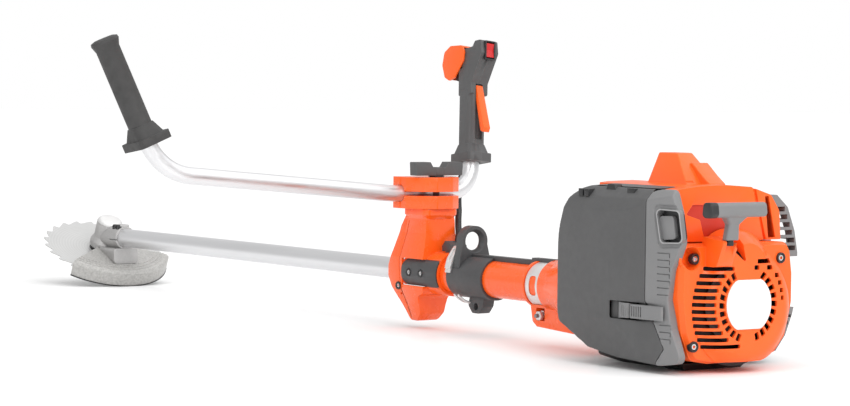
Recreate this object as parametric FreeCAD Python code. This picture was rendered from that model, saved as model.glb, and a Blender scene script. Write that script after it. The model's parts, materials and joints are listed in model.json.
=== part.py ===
import FreeCAD, Part
import math
import os

# Brush cutter of the clearing saw kind: a two-stroke engine, a straight drive tube, an angled bevel
# gear head with a toothed saw blade under a guard, and a bullhorn handlebar on a vibration housing.
# Working frame: X forward along the drive tube's axis, Y left, Z up, all in millimetres. The finished
# pieces are moved together, so that the origin is the centre of the bottom of the whole box.

V = FreeCAD.Vector
DIRECTIONS = {"x": V(1, 0, 0), "y": V(0, 1, 0), "z": V(0, 0, 1)}
FIT = 0.05                 # radial clearance of a shaft that runs in a hole
GAP = 0.3                  # clearance between curved faces that slide past each other

# Cutting head. The blade's plane leans, front edge up, by the head angle.
HEAD_ANGLE = 24.0
BLADE_CENTRE = V(928, 0, -25)
BLADE_RADIUS = 112.5
BLADE_THICKNESS = 1.8
BLADE_TEETH = 24
GULLET_DEPTH = 9.0
ARBOR_RADIUS = 10.0
SPINDLE_RADIUS = 6.0
BARREL_RADIUS = 23.5
BARREL_BORE = 18.5
BARREL_BOTTOM = 8.0        # heights above the blade's middle plane, along the output axis
BARREL_TOP = 55.0
CAP_TOP = 62.0
GUARD_RADIUS = 120.0
GUARD_TOP = 14.0
GUARD_BOTTOM = -14.0
GUARD_WALL = 2.5
GUARD_FROM = 118.0         # degrees about the output axis, from straight ahead, towards the left
GUARD_TO = 244.0
PINION_TEETH = 12
CROWN_TEETH = 16
CONE_DISTANCE = 22.0       # from the point where the two gear axes meet to the teeth's large ends
FACE_WIDTH = 8.0

# Drive tube and drive shaft
TUBE_RADIUS = 16.5
TUBE_WALL = 1.7
TUBE_FRONT = 882.0
TUBE_REAR = -120.0
COLLAR_REAR = 845.0
COLLAR_RADIUS = 20.5
SHAFT_RADIUS = 4.0
SHAFT_FRONT = 903.0
SHAFT_REAR = -514.0
BUSH_PLACES = (820, 620, 420, 220, 20)

# Vibration housing, with the column that carries the handlebar
COLUMN_X = -122.0
COLUMN_HALF = 26.0
COLUMN_TOP = 88.0
FLANGE_TOP = 97.0
FLANGE_HALF = 31.0
BARREL_HOUSING_RADIUS = 33.0
HOUSING_REAR = -187.0
REAR_TUBE_RADIUS = 27.5
REAR_TUBE_WALL = 3.0
REAR_TUBE_END = -440.0

# Handlebar and its clamp
BAR_RADIUS = 12.5
BAR_WALL = 2.0
BAR_X = -106.0
BAR_Z = 120.0
STUD_X = -136.0
STUD_RADIUS = 5.0
STUD_BOTTOM = 105.0        # the stud's thread ends inside the lower jaw
SPIGOT_RADIUS = 9.0        # of the column's round end, on which the lower jaw turns
SPIGOT_TOP = 104.0
JAW_SPLIT = 1.25           # half of the slit between the jaws
LOWER_JAW_BOTTOM = 97.3
UPPER_JAW_TOP = 145.0
JAW_OUTLINE = ((-88, 48), (-120, 48), (-150, 32), (-160, 14), (-160, -14), (-150, -32), (-120, -48),
               (-88, -48))
RIGHT_CORNER = V(-106, -86, 120)
RIGHT_LEAN = V(0.138, -0.110, 0.984)
LEFT_KNEE = V(-106, 64, 120)
LEFT_CORNER = V(-101, 458, 154)
LEFT_LEAN = V(0.130, 0.376, 0.918)
RIGHT_BEND = 45.0
LEFT_BEND = 80.0
KNEE_BEND = 200.0
RIGHT_GRIP_START = 46.0    # along each grip's axis, from the corner of the handlebar's centre line
LEFT_GRIP_START = 44.0
LEFT_GRIP_LENGTH = 164.0
LEFT_GRIP_RADIUS = 17.5

# Harness suspension on the rear tube
SLEEVE = (-294.0, -208.0)
SLEEVE_RADIUS = 31.6
EYE_X = -228.0
EYE_Z = 53.0
EYE_HOLE = 12.7
EYE_RADIUS = 23.0
CHANNEL = (-434.0, -189.0)
CHANNEL_HALF = 6.0
CHANNEL_TOP = 34.0

# Engine. The crankshaft lies on the drive shaft's axis and the cylinder stands on it.
ENGINE_X = -688.0
CRANK_RADIUS = 16.0
CRANKSHAFT_RADIUS = 7.5
PISTON_RADIUS = 21.0
PISTON_HEIGHT = 30.0
PISTON_BOTTOM = 34.0       # at bottom dead centre
CYLINDER_BOTTOM = 48.0
COMBUSTION_TOP = 98.0
FLOOR = -87.0
CLUTCH_FACE = -560.0
STARTER_FRONT = -758.0
STARTER_BACK = -812.0
DOME_BACK = -838.0
DOME_CENTRE = (-6, -2)
STARTER_OUTLINE = (
    (92, 82), (96, 46), (96, 10), (90, -34), (75, -69), (46, -74), (-32, -74), (-68, -66),
    (-87, -44), (-99, 2), (-99, 42), (-93, 82),
)
HOOD_OUTLINE = ((91, 83.5), (91, 150), (42, 156), (-1, 157), (-45, 154), (-81, 143), (-96, 122),
                (-99, 83.5))
HUMP_FRONT = -664.0
HUMP_REAR = -754.0
HUMP_TOP = 197.0
COVER_FRONT = -576.0
COVER_SEAM = -757.0
COVER_FACE = 117.0
PULL_DIRECTION = V(-0.342, 0, 0.940)
ROPE_RADIUS = 42.0
WALL = 3.0

pieces = {}


def add(name, shape):
    """Keep a finished piece under its name, in the working frame."""
    pieces[name] = shape.removeSplitter()


def box(x, y, z):
    """Box between the low and high limits on each axis."""
    return Part.makeBox(x[1] - x[0], y[1] - y[0], z[1] - z[0], V(x[0], y[0], z[0]))


def rod(start, axis, radius, length):
    """Cylinder from a start point along a named axis or a direction."""
    direction = DIRECTIONS[axis] if isinstance(axis, str) else axis
    return Part.makeCylinder(radius, length, V(*start), direction)


def pipe(start, axis, outer, inner, length):
    """Hollow cylinder."""
    return rod(start, axis, outer, length).cut(rod(start, axis, inner, length))


def fuse(shapes):
    """One shape out of several that touch."""
    shapes = list(shapes)
    return shapes[0].multiFuse(shapes[1:]) if len(shapes) > 1 else shapes[0]


def largest(shape):
    """The largest of a shape's solids, without the slivers that a cut leaves."""
    return max(shape.Solids, key=lambda solid: solid.Volume)


def cut(shape, tools):
    """A shape with every tool taken away."""
    for tool in tools:
        shape = shape.cut(tool)
    return shape


def lift(axis, a, b, level):
    """Point (a, b) of the plane across an axis, at a level along that axis."""
    return {"x": V(level, a, b), "y": V(a, level, b), "z": V(a, b, level)}[axis]


def corner_arc(before, corner, after, radius):
    """Start, middle and end of the arc that rounds a corner, no larger than the sides allow."""
    back = before - corner
    ahead = after - corner
    room = 0.49 * min(back.Length, ahead.Length)
    back.normalize()
    ahead.normalize()
    half = back.getAngle(ahead) / 2
    radius = min(radius, room * math.tan(half))
    trim = radius / math.tan(half)
    middle = back + ahead
    middle.normalize()
    depth = radius / math.sin(half) - radius
    return corner + back * trim, corner + middle * depth, corner + ahead * trim


def outline(points, radius, axis, level):
    """Closed wire through points across an axis, with rounded corners."""
    corners = [lift(axis, a, b, level) for a, b in points]
    count = len(corners)
    if not radius:
        return Part.makePolygon(corners + corners[:1])
    arcs = [corner_arc(corners[i - 1], corners[i], corners[(i + 1) % count], radius) for i in range(count)]
    edges = []
    for i, (start, middle, end) in enumerate(arcs):
        edges.append(Part.Arc(start, middle, end).toShape())
        edges.append(Part.LineSegment(end, arcs[(i + 1) % count][0]).toShape())
    return Part.Wire(edges)


def prism(points, axis, low, high, radius=0):
    """Solid with a rounded outline across an axis, from a low to a high level."""
    return Part.Face(outline(points, radius, axis, low)).extrude(DIRECTIONS[axis] * (high - low))


def taper(low_points, high_points, axis, low, high, radius=0):
    """Solid between two outlines that have the same number of corners."""
    wires = [outline(low_points, radius, axis, low), outline(high_points, radius, axis, high)]
    return Part.makeLoft(wires, True, True)


def rectangle(centre, half_a, half_b):
    """Corner points of a rectangle."""
    a, b = centre
    return ((a + half_a, b + half_b), (a - half_a, b + half_b), (a - half_a, b - half_b),
            (a + half_a, b - half_b))


def scaled(points, factor, centre=(0, 0)):
    """Outline points moved towards or away from a centre."""
    return [(centre[0] + (a - centre[0]) * factor, centre[1] + (b - centre[1]) * factor) for a, b in points]


def inset(points, distance):
    """Outline points of a convex outline, moved inwards by a distance."""
    count = len(points)
    turn = sum(
        points[i - 1][0] * points[i][1] - points[i][0] * points[i - 1][1] for i in range(count)
    )
    sign = 1 if turn > 0 else -1
    moved = []
    for i in range(count):
        before = V(points[i][0] - points[i - 1][0], points[i][1] - points[i - 1][1], 0)
        after = V(points[(i + 1) % count][0] - points[i][0], points[(i + 1) % count][1] - points[i][1], 0)
        before.normalize()
        after.normalize()
        normals = [V(-side.y, side.x, 0) * sign for side in (before, after)]
        middle = normals[0] + normals[1]
        middle.normalize()
        shift = middle * (distance / max(0.3, middle.dot(normals[0])))
        moved.append((points[i][0] + shift.x, points[i][1] + shift.y))
    return moved


def lathe(profile, origin, direction):
    """Solid turned about a direction from (distance along, radius) points."""
    corners = [V(radius, 0, along) for along, radius in profile]
    turned = Part.Face(Part.makePolygon(corners + corners[:1])).revolve(V(0, 0, 0), V(0, 0, 1), 360)
    return placed(turned, FreeCAD.Placement(V(*origin), FreeCAD.Rotation(V(0, 0, 1), V(*direction))))


def placed(shape, placement):
    """Copy of a shape under a placement."""
    moved = shape.copy()
    moved.Placement = placement.multiply(moved.Placement)
    return moved


def route(points, radii):
    """Open wire of straight runs joined by tangent arcs at the inner points."""
    edges = []
    start = points[0]
    for i, radius in enumerate(radii, start=1):
        arc = corner_arc(points[i - 1], points[i], points[i + 1], radius)
        edges.append(Part.LineSegment(start, arc[0]).toShape())
        edges.append(Part.Arc(*arc).toShape())
        start = arc[2]
    edges.append(Part.LineSegment(start, points[-1]).toShape())
    return Part.Wire(edges)


def swept(points, radii, outer, inner=0):
    """Round tube or rod along a route."""
    path = route(points, radii)
    heading = points[1] - points[0]
    rings = [Part.Wire([Part.makeCircle(size, points[0], heading)]) for size in (outer, inner) if size]
    solids = [path.makePipeShell([ring], True, False) for ring in rings]
    return solids[0].cut(solids[1]) if inner else solids[0]


def hexagon(radius):
    """Six corners at a distance from the middle."""
    turns = [math.radians(60 * i) for i in range(6)]
    return [(radius * math.cos(turn), radius * math.sin(turn)) for turn in turns]


def screw(head, direction, length, radius=2.5):
    """Socket-head screw whose head's outer face is at a point, with its shank along a direction."""
    head_radius = radius * 1.7
    head_height = radius * 1.9
    shape = fuse([rod((0, 0, 0), "z", head_radius, head_height), rod((0, 0, 0), "z", radius, length)])
    shape = shape.cut(prism(hexagon(radius), "z", -1, radius))
    return placed(shape, FreeCAD.Placement(V(*head), FreeCAD.Rotation(V(0, 0, 1), V(*direction))))


def grip_placement(corner, lean, distance):
    """Frame of a grip: Z along the grip, X forward and Y to the left, at a distance from the bar's corner."""
    up = V(lean)
    up.normalize()
    forward = V(1, 0, 0) - up * up.x
    forward.normalize()
    left = up.cross(forward)
    return FreeCAD.Placement(corner + up * distance, FreeCAD.Rotation(forward, left, up, "ZXY"))


HEAD = FreeCAD.Placement(BLADE_CENTRE, FreeCAD.Rotation(V(0, 1, 0), -HEAD_ANGLE))
OUTPUT_AXIS = HEAD.Rotation.multVec(V(0, 0, 1))
GEAR_APEX_HEIGHT = -BLADE_CENTRE.z / math.cos(math.radians(HEAD_ANGLE))
GEAR_APEX = HEAD.multVec(V(0, 0, GEAR_APEX_HEIGHT))
RIGHT_GRIP = grip_placement(RIGHT_CORNER, RIGHT_LEAN, RIGHT_GRIP_START)
LEFT_GRIP = grip_placement(LEFT_CORNER, LEFT_LEAN, LEFT_GRIP_START)


def bevel_gear(teeth, pitch_angle, addendum, dedendum, slack):
    """Straight bevel gear about Z with its cone's apex at the origin and its back upwards."""
    large = CONE_DISTANCE
    small = CONE_DISTANCE - FACE_WIDTH
    half = math.pi / teeth / 2

    def point(distance, offset, angle):
        cone = pitch_angle + math.atan2(offset, CONE_DISTANCE)
        slant = distance / math.cos(cone - pitch_angle)
        radius = slant * math.sin(cone)
        return V(radius * math.cos(angle), radius * math.sin(angle), slant * math.cos(cone))

    root = pitch_angle - math.atan2(dedendum, CONE_DISTANCE)
    ends = [(d / math.cos(root - pitch_angle) * math.cos(root),
             d / math.cos(root - pitch_angle) * math.sin(root))
            for d in (small, large)]
    back = ends[1][0] + 1.2
    body = lathe(((ends[0][0], 0), ends[0], ends[1], (back, ends[1][1]), (back, 0)), (0, 0, 0), (0, 0, 1))
    tooth_shapes = []
    for i in range(teeth):
        middle = 2 * math.pi * i / teeth
        wires = []
        for distance in (small, large):
            section = [
                point(distance, -dedendum - 0.4, middle - half * 1.35 * slack),
                point(distance, addendum, middle - half * 0.5 * slack),
                point(distance, addendum, middle + half * 0.5 * slack),
                point(distance, -dedendum - 0.4, middle + half * 1.35 * slack),
            ]
            wires.append(Part.makePolygon(section + section[:1]))
        tooth_shapes.append(Part.makeLoft(wires, True, True))
    return body.multiFuse(tooth_shapes)


def gears():
    """Pinion on the drive shaft and crown gear on the output shaft, in mesh."""
    shaft_angle = math.radians(90 - HEAD_ANGLE)
    pinion_angle = math.atan2(math.sin(shaft_angle), CROWN_TEETH / PINION_TEETH + math.cos(shaft_angle))
    crown_angle = shaft_angle - pinion_angle
    pinion = bevel_gear(PINION_TEETH, pinion_angle, 1.5, 1.9, 0.86)
    crown = bevel_gear(CROWN_TEETH, crown_angle, 1.5, 1.9, 0.86)
    crown_turn = FreeCAD.Rotation(V(0, 0, 1), 180 / CROWN_TEETH)
    crown = placed(crown, FreeCAD.Placement(V(0, 0, GEAR_APEX_HEIGHT), crown_turn))
    crown = crown.cut(rod((0, 0, 0), "z", SPINDLE_RADIUS + FIT, CAP_TOP))
    add("crown_gear", placed(crown, HEAD))
    pinion_frame = FreeCAD.Rotation(V(0, 0, 1), V(0, 1, 0), V(-1, 0, 0), "ZXY")
    pinion = placed(pinion, FreeCAD.Placement(GEAR_APEX, pinion_frame))
    add("pinion_gear", pinion.cut(rod((850, 0, 0), "x", SHAFT_RADIUS + FIT, 60)))


def saw_blade():
    """Toothed disc with a hooked tooth at each pitch."""
    pitch = 360 / BLADE_TEETH
    root = BLADE_RADIUS - GULLET_DEPTH
    corners = []
    for i in range(BLADE_TEETH):
        start = i * pitch
        for turn, radius in ((0, root), (0.10, BLADE_RADIUS), (0.28, BLADE_RADIUS - 1.2),
                             (0.72, root + 1.5), (0.88, root)):
            angle = math.radians(start + turn * pitch)
            corners.append((radius * math.cos(angle), radius * math.sin(angle)))
    disc = prism(corners, "z", -BLADE_THICKNESS / 2, BLADE_THICKNESS / 2)
    disc = disc.cut(rod((0, 0, -5), "z", ARBOR_RADIUS + FIT, 10))
    add("saw_blade", placed(disc, HEAD))


def blade_fixing():
    """Output shaft, drive disc with its arbor, support flange and nut."""
    half = BLADE_THICKNESS / 2
    shaft = fuse([rod((0, 0, -19), "z", SPINDLE_RADIUS, BARREL_TOP - 1 + 19),
                  rod((0, 0, -22), "z", 4.5, 4)])
    add("output_shaft", placed(shaft, HEAD))
    bore = rod((0, 0, -30), "z", SPINDLE_RADIUS + FIT, 60)
    disc = lathe(((half, 0), (half, 27), (5, 27), (BARREL_BOTTOM - 1, 20), (BARREL_BOTTOM - 1, 0)),
                 (0, 0, 0), (0, 0, 1))
    arbor = rod((0, 0, -half), "z", ARBOR_RADIUS, 2 * half)
    add("drive_disc", placed(disc.fuse(arbor).cut(bore), HEAD))
    flange = lathe(((-half, 0), (-half, 26), (-4, 26), (-7, 16), (-7, 0)), (0, 0, 0), (0, 0, 1))
    add("support_flange", placed(flange.cut(bore), HEAD))
    add("blade_nut", placed(prism(hexagon(10.5), "z", -17, -7).cut(bore), HEAD))


def gear_housing():
    """Casting with the barrel, the collar for the drive tube and the guard's bracket, and its round cap."""
    barrel = lathe(
        ((BARREL_BOTTOM, 0), (BARREL_BOTTOM, 28.5), (18, 28.5), (27, BARREL_RADIUS),
         (BARREL_TOP, BARREL_RADIUS), (BARREL_TOP, 0)), (0, 0, 0), (0, 0, 1))
    barrel = placed(barrel, HEAD)
    neck = rod((COLLAR_REAR, 0, 0), "x", COLLAR_RADIUS, 75)
    bracket = prism(rectangle((0, -33), 24, 14), "x", 843, 905, 6)
    ears = prism(rectangle((COLLAR_REAR + 15, 18), 12, 6), "y", -9, 9, 3)
    web = prism(((850, -24), (850, -5), (905, -5), (905, -24)), "y", -9, 9, 1)
    body = fuse([barrel, neck, bracket, ears, web])
    below_bracket = box((-140, -10), (-60, 60), (-60, GUARD_TOP + 0.2)).cut(rod((0, 0, -60), "z", 28.6, 120))
    below_bracket = placed(below_bracket.cut(box((-140, 0), (-60, 60), (GUARD_TOP + 0.2, 90))), HEAD)
    above_barrel = placed(rod((0, 0, BARREL_TOP), "z", BARREL_RADIUS + 3, 20), HEAD)
    under_barrel = placed(box((-60, 60), (-60, 60), (-60, BARREL_BOTTOM)), HEAD)
    bore = placed(rod((0, 0, BARREL_BOTTOM - 1), "z", BARREL_BORE, 60), HEAD)
    socket = rod((COLLAR_REAR - 5, 0, 0), "x", TUBE_RADIUS + FIT, TUBE_FRONT - COLLAR_REAR + 5.2)
    passage = rod((TUBE_FRONT, 0, 0), "x", 14, 30)
    slit = box((COLLAR_REAR - 5, COLLAR_REAR + 26), (0, 40), (-4, -2.2))
    body = cut(body, [below_bracket, under_barrel, above_barrel, bore, socket, passage, slit])
    add("gear_housing", body)
    cap = lathe(((BARREL_TOP, 0), (BARREL_TOP, BARREL_RADIUS - 0.5), (CAP_TOP - 3, BARREL_RADIUS - 1.5),
                 (CAP_TOP, BARREL_RADIUS - 5), (CAP_TOP, 0)), (0, 0, 0), (0, 0, 1))
    add("gear_cap", placed(cap, HEAD))
    bearings = [placed(pipe((0, 0, z), "z", BARREL_BORE - FIT, SPINDLE_RADIUS + FIT, 7), HEAD)
                for z in (BARREL_BOTTOM + 0.5, BARREL_TOP - 7.5)]
    bearings.append(pipe((TUBE_FRONT + 1, 0, 0), "x", 14 - FIT, SHAFT_RADIUS + FIT, 9))
    add("head_bearings", Part.makeCompound(bearings))


def blade_guard():
    """Guard over the rear of the blade: a ribbed top, a deep rim and closed ends."""
    sweep = GUARD_TO - GUARD_FROM
    rim = lathe(((GUARD_BOTTOM, GUARD_RADIUS - GUARD_WALL), (GUARD_BOTTOM, GUARD_RADIUS),
                 (GUARD_TOP - 4, GUARD_RADIUS),
                 (GUARD_TOP, GUARD_RADIUS - 5), (GUARD_TOP, 31), (GUARD_TOP - GUARD_WALL, 31),
                 (GUARD_TOP - GUARD_WALL, GUARD_RADIUS - 6), (GUARD_TOP - 5, GUARD_RADIUS - GUARD_WALL)),
                (0, 0, 0), (0, 0, 1))
    rings = [pipe((0, 0, GUARD_TOP - 1), "z", radius + 1.2, radius - 1.2, 2.2) for radius in (92, 100, 108)]
    body = fuse([rim] + rings)
    wedge = Part.makeCylinder(200, 80, V(0, 0, -40), V(0, 0, 1), sweep)
    wedge = placed(wedge, FreeCAD.Placement(V(0, 0, 0), FreeCAD.Rotation(V(0, 0, 1), GUARD_FROM)))
    body = body.common(wedge)
    body = body.cut(box((-92, -20), (-25, 25), (GUARD_TOP, 30)))
    add("blade_guard", placed(body, HEAD))


def drive_line():
    """Drive tube with its bushes, and the shaft inside with the clutch drum at its rear end."""
    tube = pipe((TUBE_REAR, 0, 0), "x", TUBE_RADIUS, TUBE_RADIUS - TUBE_WALL, TUBE_FRONT - TUBE_REAR)
    add("drive_tube", tube)
    bore = TUBE_RADIUS - TUBE_WALL - FIT
    bushes = [pipe((x, 0, 0), "x", bore, SHAFT_RADIUS + FIT, 24) for x in BUSH_PLACES]
    add("shaft_bushes", Part.makeCompound(bushes))
    add("drive_shaft", rod((SHAFT_REAR, 0, 0), "x", SHAFT_RADIUS, SHAFT_FRONT - SHAFT_REAR))
    drum = rod((-546, 0, 0), "x", 38, 32)
    drum = drum.fuse(rod((-515, 0, 0), "x", 11, 14))
    drum = cut(drum, [rod((-547, 0, 0), "x", 35.5, 29), rod((-515, 0, 0), "x", SHAFT_RADIUS + FIT, 20)])
    add("clutch_drum", drum)


def vibration_housing():
    """Tee-shaped housing in two shells, its dampers, the side plate and the rear tube."""
    side = ((-148, 88), (-150, 20), (-150, -30), (-130, -36), (-129, -62), (-116, -75), (-92, -74),
            (-66, -50), (-46, -22), (-44, 16), (-62, 40), (-96, 88))
    front_view = ((26, 92), (27, 60), (33, 22), (33, -24), (25, -50), (19, -76), (-19, -76), (-25, -50),
                  (-33, -24), (-33, 22), (-27, 60), (-26, 92))
    body = prism(side, "y", -40, 40, 9).common(prism(front_view, "x", -200, -20, 8))
    barrel = rod((HOUSING_REAR, 0, 0), "x", BARREL_HOUSING_RADIUS, -80 - HOUSING_REAR)
    flange = taper(rectangle((COLUMN_X, 0), COLUMN_HALF + 1, COLUMN_HALF),
                   rectangle((COLUMN_X, 0), FLANGE_HALF, FLANGE_HALF),
                   "z", COLUMN_TOP - 6, COLUMN_TOP, 10)
    plate = prism(rectangle((COLUMN_X, 0), FLANGE_HALF, FLANGE_HALF), "z", COLUMN_TOP, FLANGE_TOP, 10)
    spigot = rod((STUD_X, 0, COLUMN_TOP), "z", SPIGOT_RADIUS, SPIGOT_TOP - COLUMN_TOP)
    body = fuse([body, barrel, flange, plate, spigot])
    hollow = fuse([
        prism(inset(side, 4), "y", -40, 40, 6).common(prism(inset(front_view, 4), "x", -146, -50, 6)),
        rod((-200, 0, 0), "x", REAR_TUBE_RADIUS + FIT, 44),
        rod((-160, 0, 0), "x", TUBE_RADIUS + 4, 60),
    ])
    hollow = hollow.cut(box((-200, 0), (-60, 60), (66, 120)))
    tube_way = rod((-70, 0, 0), "x", TUBE_RADIUS + GAP, 80)
    plate_bed = pipe((-186, 0, 0), "x", 60, BARREL_HOUSING_RADIUS - 1, 92)
    bed = plate_bed.common(box((-186, -94), (0, 60), (-20, 21)))
    body = cut(body, [hollow, tube_way, bed])
    seam = ((-103, 100), (-86, 17), (-90, -22), (-106, -80), (0, -80), (0, 100))
    front = prism(seam, "y", -60, 60)
    plate_zone = box((-200, 0), (-60, 60), (COLUMN_TOP - 8, 120))
    front = front.cut(plate_zone)
    add("av_cover", body.common(front))
    add("av_housing", body.cut(front))
    dampers = [pipe((x, 0, 0), "x", TUBE_RADIUS + 3.9, TUBE_RADIUS + FIT, 12) for x in (-82, -118)]
    add("av_dampers", Part.makeCompound(dampers))
    plate = pipe((-185.5, 0, 0), "x", BARREL_HOUSING_RADIUS + 1.5, BARREL_HOUSING_RADIUS - 0.9, 91)
    plate = plate.common(box((-185.5, -94.5), (0, 60), (-19.5, 20.5)))
    plate = cut(plate, [rod((x, 20, 0), "y", 3.4, 30) for x in (-114, -145)])
    add("side_plate", plate)
    add("rear_tube", pipe((REAR_TUBE_END, 0, 0), "x", REAR_TUBE_RADIUS, REAR_TUBE_RADIUS - REAR_TUBE_WALL,
                          -157 - REAR_TUBE_END))


def clamp():
    """Two jaws that hold the handlebar, and the wing knob on its stud."""
    groove = rod((BAR_X, -80, BAR_Z), "y", BAR_RADIUS + GAP, 160)
    stud_way = rod((STUD_X, 0, 80), "z", STUD_RADIUS + 0.1, 80)
    lower = prism(JAW_OUTLINE, "z", LOWER_JAW_BOTTOM, BAR_Z - JAW_SPLIT, 4)
    upper = prism(JAW_OUTLINE, "z", BAR_Z + JAW_SPLIT, UPPER_JAW_TOP, 4)
    spigot_way = rod((STUD_X, 0, 80), "z", SPIGOT_RADIUS + 0.1, SPIGOT_TOP + GAP - 80)
    add("lower_jaw", cut(lower, [groove, stud_way, spigot_way]))
    add("upper_jaw", cut(upper, [groove, stud_way]))
    stud = rod((STUD_X, 0, STUD_BOTTOM), "z", STUD_RADIUS, 150 - STUD_BOTTOM)
    hub = lathe(((UPPER_JAW_TOP + 0.3, 0), (UPPER_JAW_TOP + 0.3, 9), (149, 11), (160, 11), (160, 0)),
                (STUD_X, 0, 0), (0, 0, 1))
    wings = ((42, 147.5), (43, 168), (17, 168), (11, 159), (-11, 159), (-17, 168), (-43, 168), (-42, 147.5))
    bar = prism(wings, "x", STUD_X - 9, STUD_X + 9, 1.5)
    add("clamp_knob", fuse([stud, hub, bar]))


def handlebar():
    """Bent tube through the jaws, from inside the throttle handle to inside the left grip."""
    right_end = RIGHT_GRIP.multVec(V(0, 0, 96))
    left_end = LEFT_GRIP.multVec(V(0, 0, 130))
    points = [right_end, RIGHT_CORNER, LEFT_KNEE, LEFT_CORNER, left_end]
    bar = swept(points, [RIGHT_BEND, KNEE_BEND, LEFT_BEND], BAR_RADIUS, BAR_RADIUS - BAR_WALL)
    add("handlebar", bar)
    collar = prism(rectangle((0, 0), 33, 26), "z", 0, 12, 8)
    flare = taper(rectangle((0, 0), 28, 22), rectangle((0, 0), 17.5, 17.5), "z", 12, 30, 12)
    body = lathe(((28, 0), (28, LEFT_GRIP_RADIUS), (148, LEFT_GRIP_RADIUS), (158, 21), (162, 20),
                  (LEFT_GRIP_LENGTH, 14),
                  (LEFT_GRIP_LENGTH, 0)), (0, 0, 0), (0, 0, 1))
    grip = fuse([collar, flare, body]).cut(rod((0, 0, -20), "z", BAR_RADIUS + FIT, 151))
    bend_room = rod((0, 0, -1), "z", BAR_RADIUS + 1.2, 9)
    add("left_grip", placed(grip.cut(bend_room), LEFT_GRIP))


def throttle_handle():
    """Right handle in two shells, with the throttle trigger, the lock-out lever and the stop switch."""
    collar = prism(rectangle((0, 0), 28, 22), "z", 0, 13, 8)
    flare = taper(rectangle((0, 0), 25, 20), rectangle((0, 0), 19, 17), "z", 13, 27, 11)
    grip = prism(rectangle((0, 0), 19, 17), "z", 26, 112, 14)
    head_side = ((14, 104), (15, 176), (-20, 178), (-26, 186), (-41, 186), (-44, 166), (-18, 122),
                 (-18, 104))
    head = prism(head_side, "y", -16, 16, 3)
    nose = prism(((14, 126), (30, 132), (32, 168), (14, 174)), "y", -10, 10, 4)
    body = fuse([collar, flare, grip, head, nose])
    bar_way = rod((0, 0, -20), "z", BAR_RADIUS + FIT, 116.5)
    hollow = prism(((10, 122), (10, 171), (-18, 173), (-34, 166), (-14, 128)), "y", -12.5, 12.5, 3)
    hinge = rod((0, -40, 0), "y", 2.0 + FIT, 80)
    trigger_pin_hole = placed(hinge, FreeCAD.Placement(V(2, 0, 165), FreeCAD.Rotation()))
    lockout_room = prism(((-13.4, 36), (-13.4, 121), (-30, 121), (-60, 30), (-30, 30)), "y", -6.6, 6.6)
    switch_room = box((-60, -31.5), (-7.3, 7.3), (157.4, 182.6))
    body = cut(body, [bar_way, hollow, trigger_pin_hole, lockout_room, switch_room])
    body = body.cut(rod((0, 0, -1), "z", BAR_RADIUS + 1.2, 9))
    body = body.cut(rod((21, 2, -1), "z", 5.2, 12))
    left_half = box((-80, 80), (0, 60), (-5, 200))
    add("throttle_handle_left", placed(body.common(left_half), RIGHT_GRIP))
    add("throttle_handle_right", placed(body.cut(left_half), RIGHT_GRIP))
    cheek = ((0, 158), (-2, 172), (4, 183), (34, 186), (50, 178), (55, 158), (48, 138), (36, 131),
             (22, 134))
    outer = prism(cheek, "y", -19, 19, 6)
    inner = prism(((-20, 179.5), (34, 180), (45, 172), (48, 156), (40, 130), (-20, 120)), "y", -16.4, 16.4,
                  3)
    pin = rod((2, -18, 165), "y", 2.0, 36)
    trigger = outer.cut(inner).fuse(pin)
    add("throttle_trigger", placed(trigger, RIGHT_GRIP))
    lever = prism(((-14.2, 117), (-18, 119), (-24, 100), (-40, 50), (-37, 43), (-31, 46), (-17, 100)), "y",
                  -6, 6, 1.2)
    add("throttle_lockout", placed(lever, RIGHT_GRIP))
    rocker = prism(((-36, 160), (-45, 159), (-43.4, 170), (-45, 181), (-36, 180)), "y", -7, 7, 0.8)
    rocker = rocker.fuse(rod((-37, -7.25, 170), "y", 3, 14.5))
    add("stop_switch", placed(rocker, RIGHT_GRIP))


def cables():
    """Throttle cable conduit from the handle down behind the column, its clip and the channel on the tube."""
    exit_point = RIGHT_GRIP.multVec(V(21, 2, 4))
    below = RIGHT_GRIP.multVec(V(21, 2, -22))
    points = [exit_point, below, V(-84, -78, 112), V(-108, -63, 92), V(-140, -44, 76), V(-166, -24, 56),
              V(-174, -13, 44)]
    radii = [60, 45, 60, 60, 40]
    conduit = swept(points, radii, 4.5)
    add("throttle_cable", conduit)
    clip = prism(((-160, 34.2), (-160, 42), (-168, 50), (-186, 44), (-188, 34.2)), "y", -22, 5, 2)
    clip = clip.cut(rod((-174, -13, 44), V(8, -11, 12), 4.5 + FIT, 30))
    add("cable_clip", clip)
    channel = box((-395, CHANNEL[1]), (-CHANNEL_HALF, CHANNEL_HALF), (REAR_TUBE_RADIUS - 3, CHANNEL_TOP))
    raised = box((CHANNEL[0], -385), (-CHANNEL_HALF, CHANNEL_HALF), (CHANNEL_TOP - 4, CHANNEL_TOP + 3.5))
    tail = box((HOUSING_REAR, -170), (-CHANNEL_HALF, CHANNEL_HALF),
               (BARREL_HOUSING_RADIUS - 1, CHANNEL_TOP + 0.1))
    channel = fuse([channel, raised, box((-191, HOUSING_REAR + 4), (-CHANNEL_HALF, CHANNEL_HALF),
                                         (BARREL_HOUSING_RADIUS - 1, CHANNEL_TOP)), tail])
    channel = cut(channel, [rod((-470, 0, 0), "x", REAR_TUBE_RADIUS + FIT, 300),
                            rod((-404, 0, 0), "x", 34 + FIT, 10), rod((-440, 0, 0), "x", 32.6 + FIT, 40),
                            rod((-187.1, 0, 0), "x", BARREL_HOUSING_RADIUS + FIT, 60)])
    add("cable_channel", channel)


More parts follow.
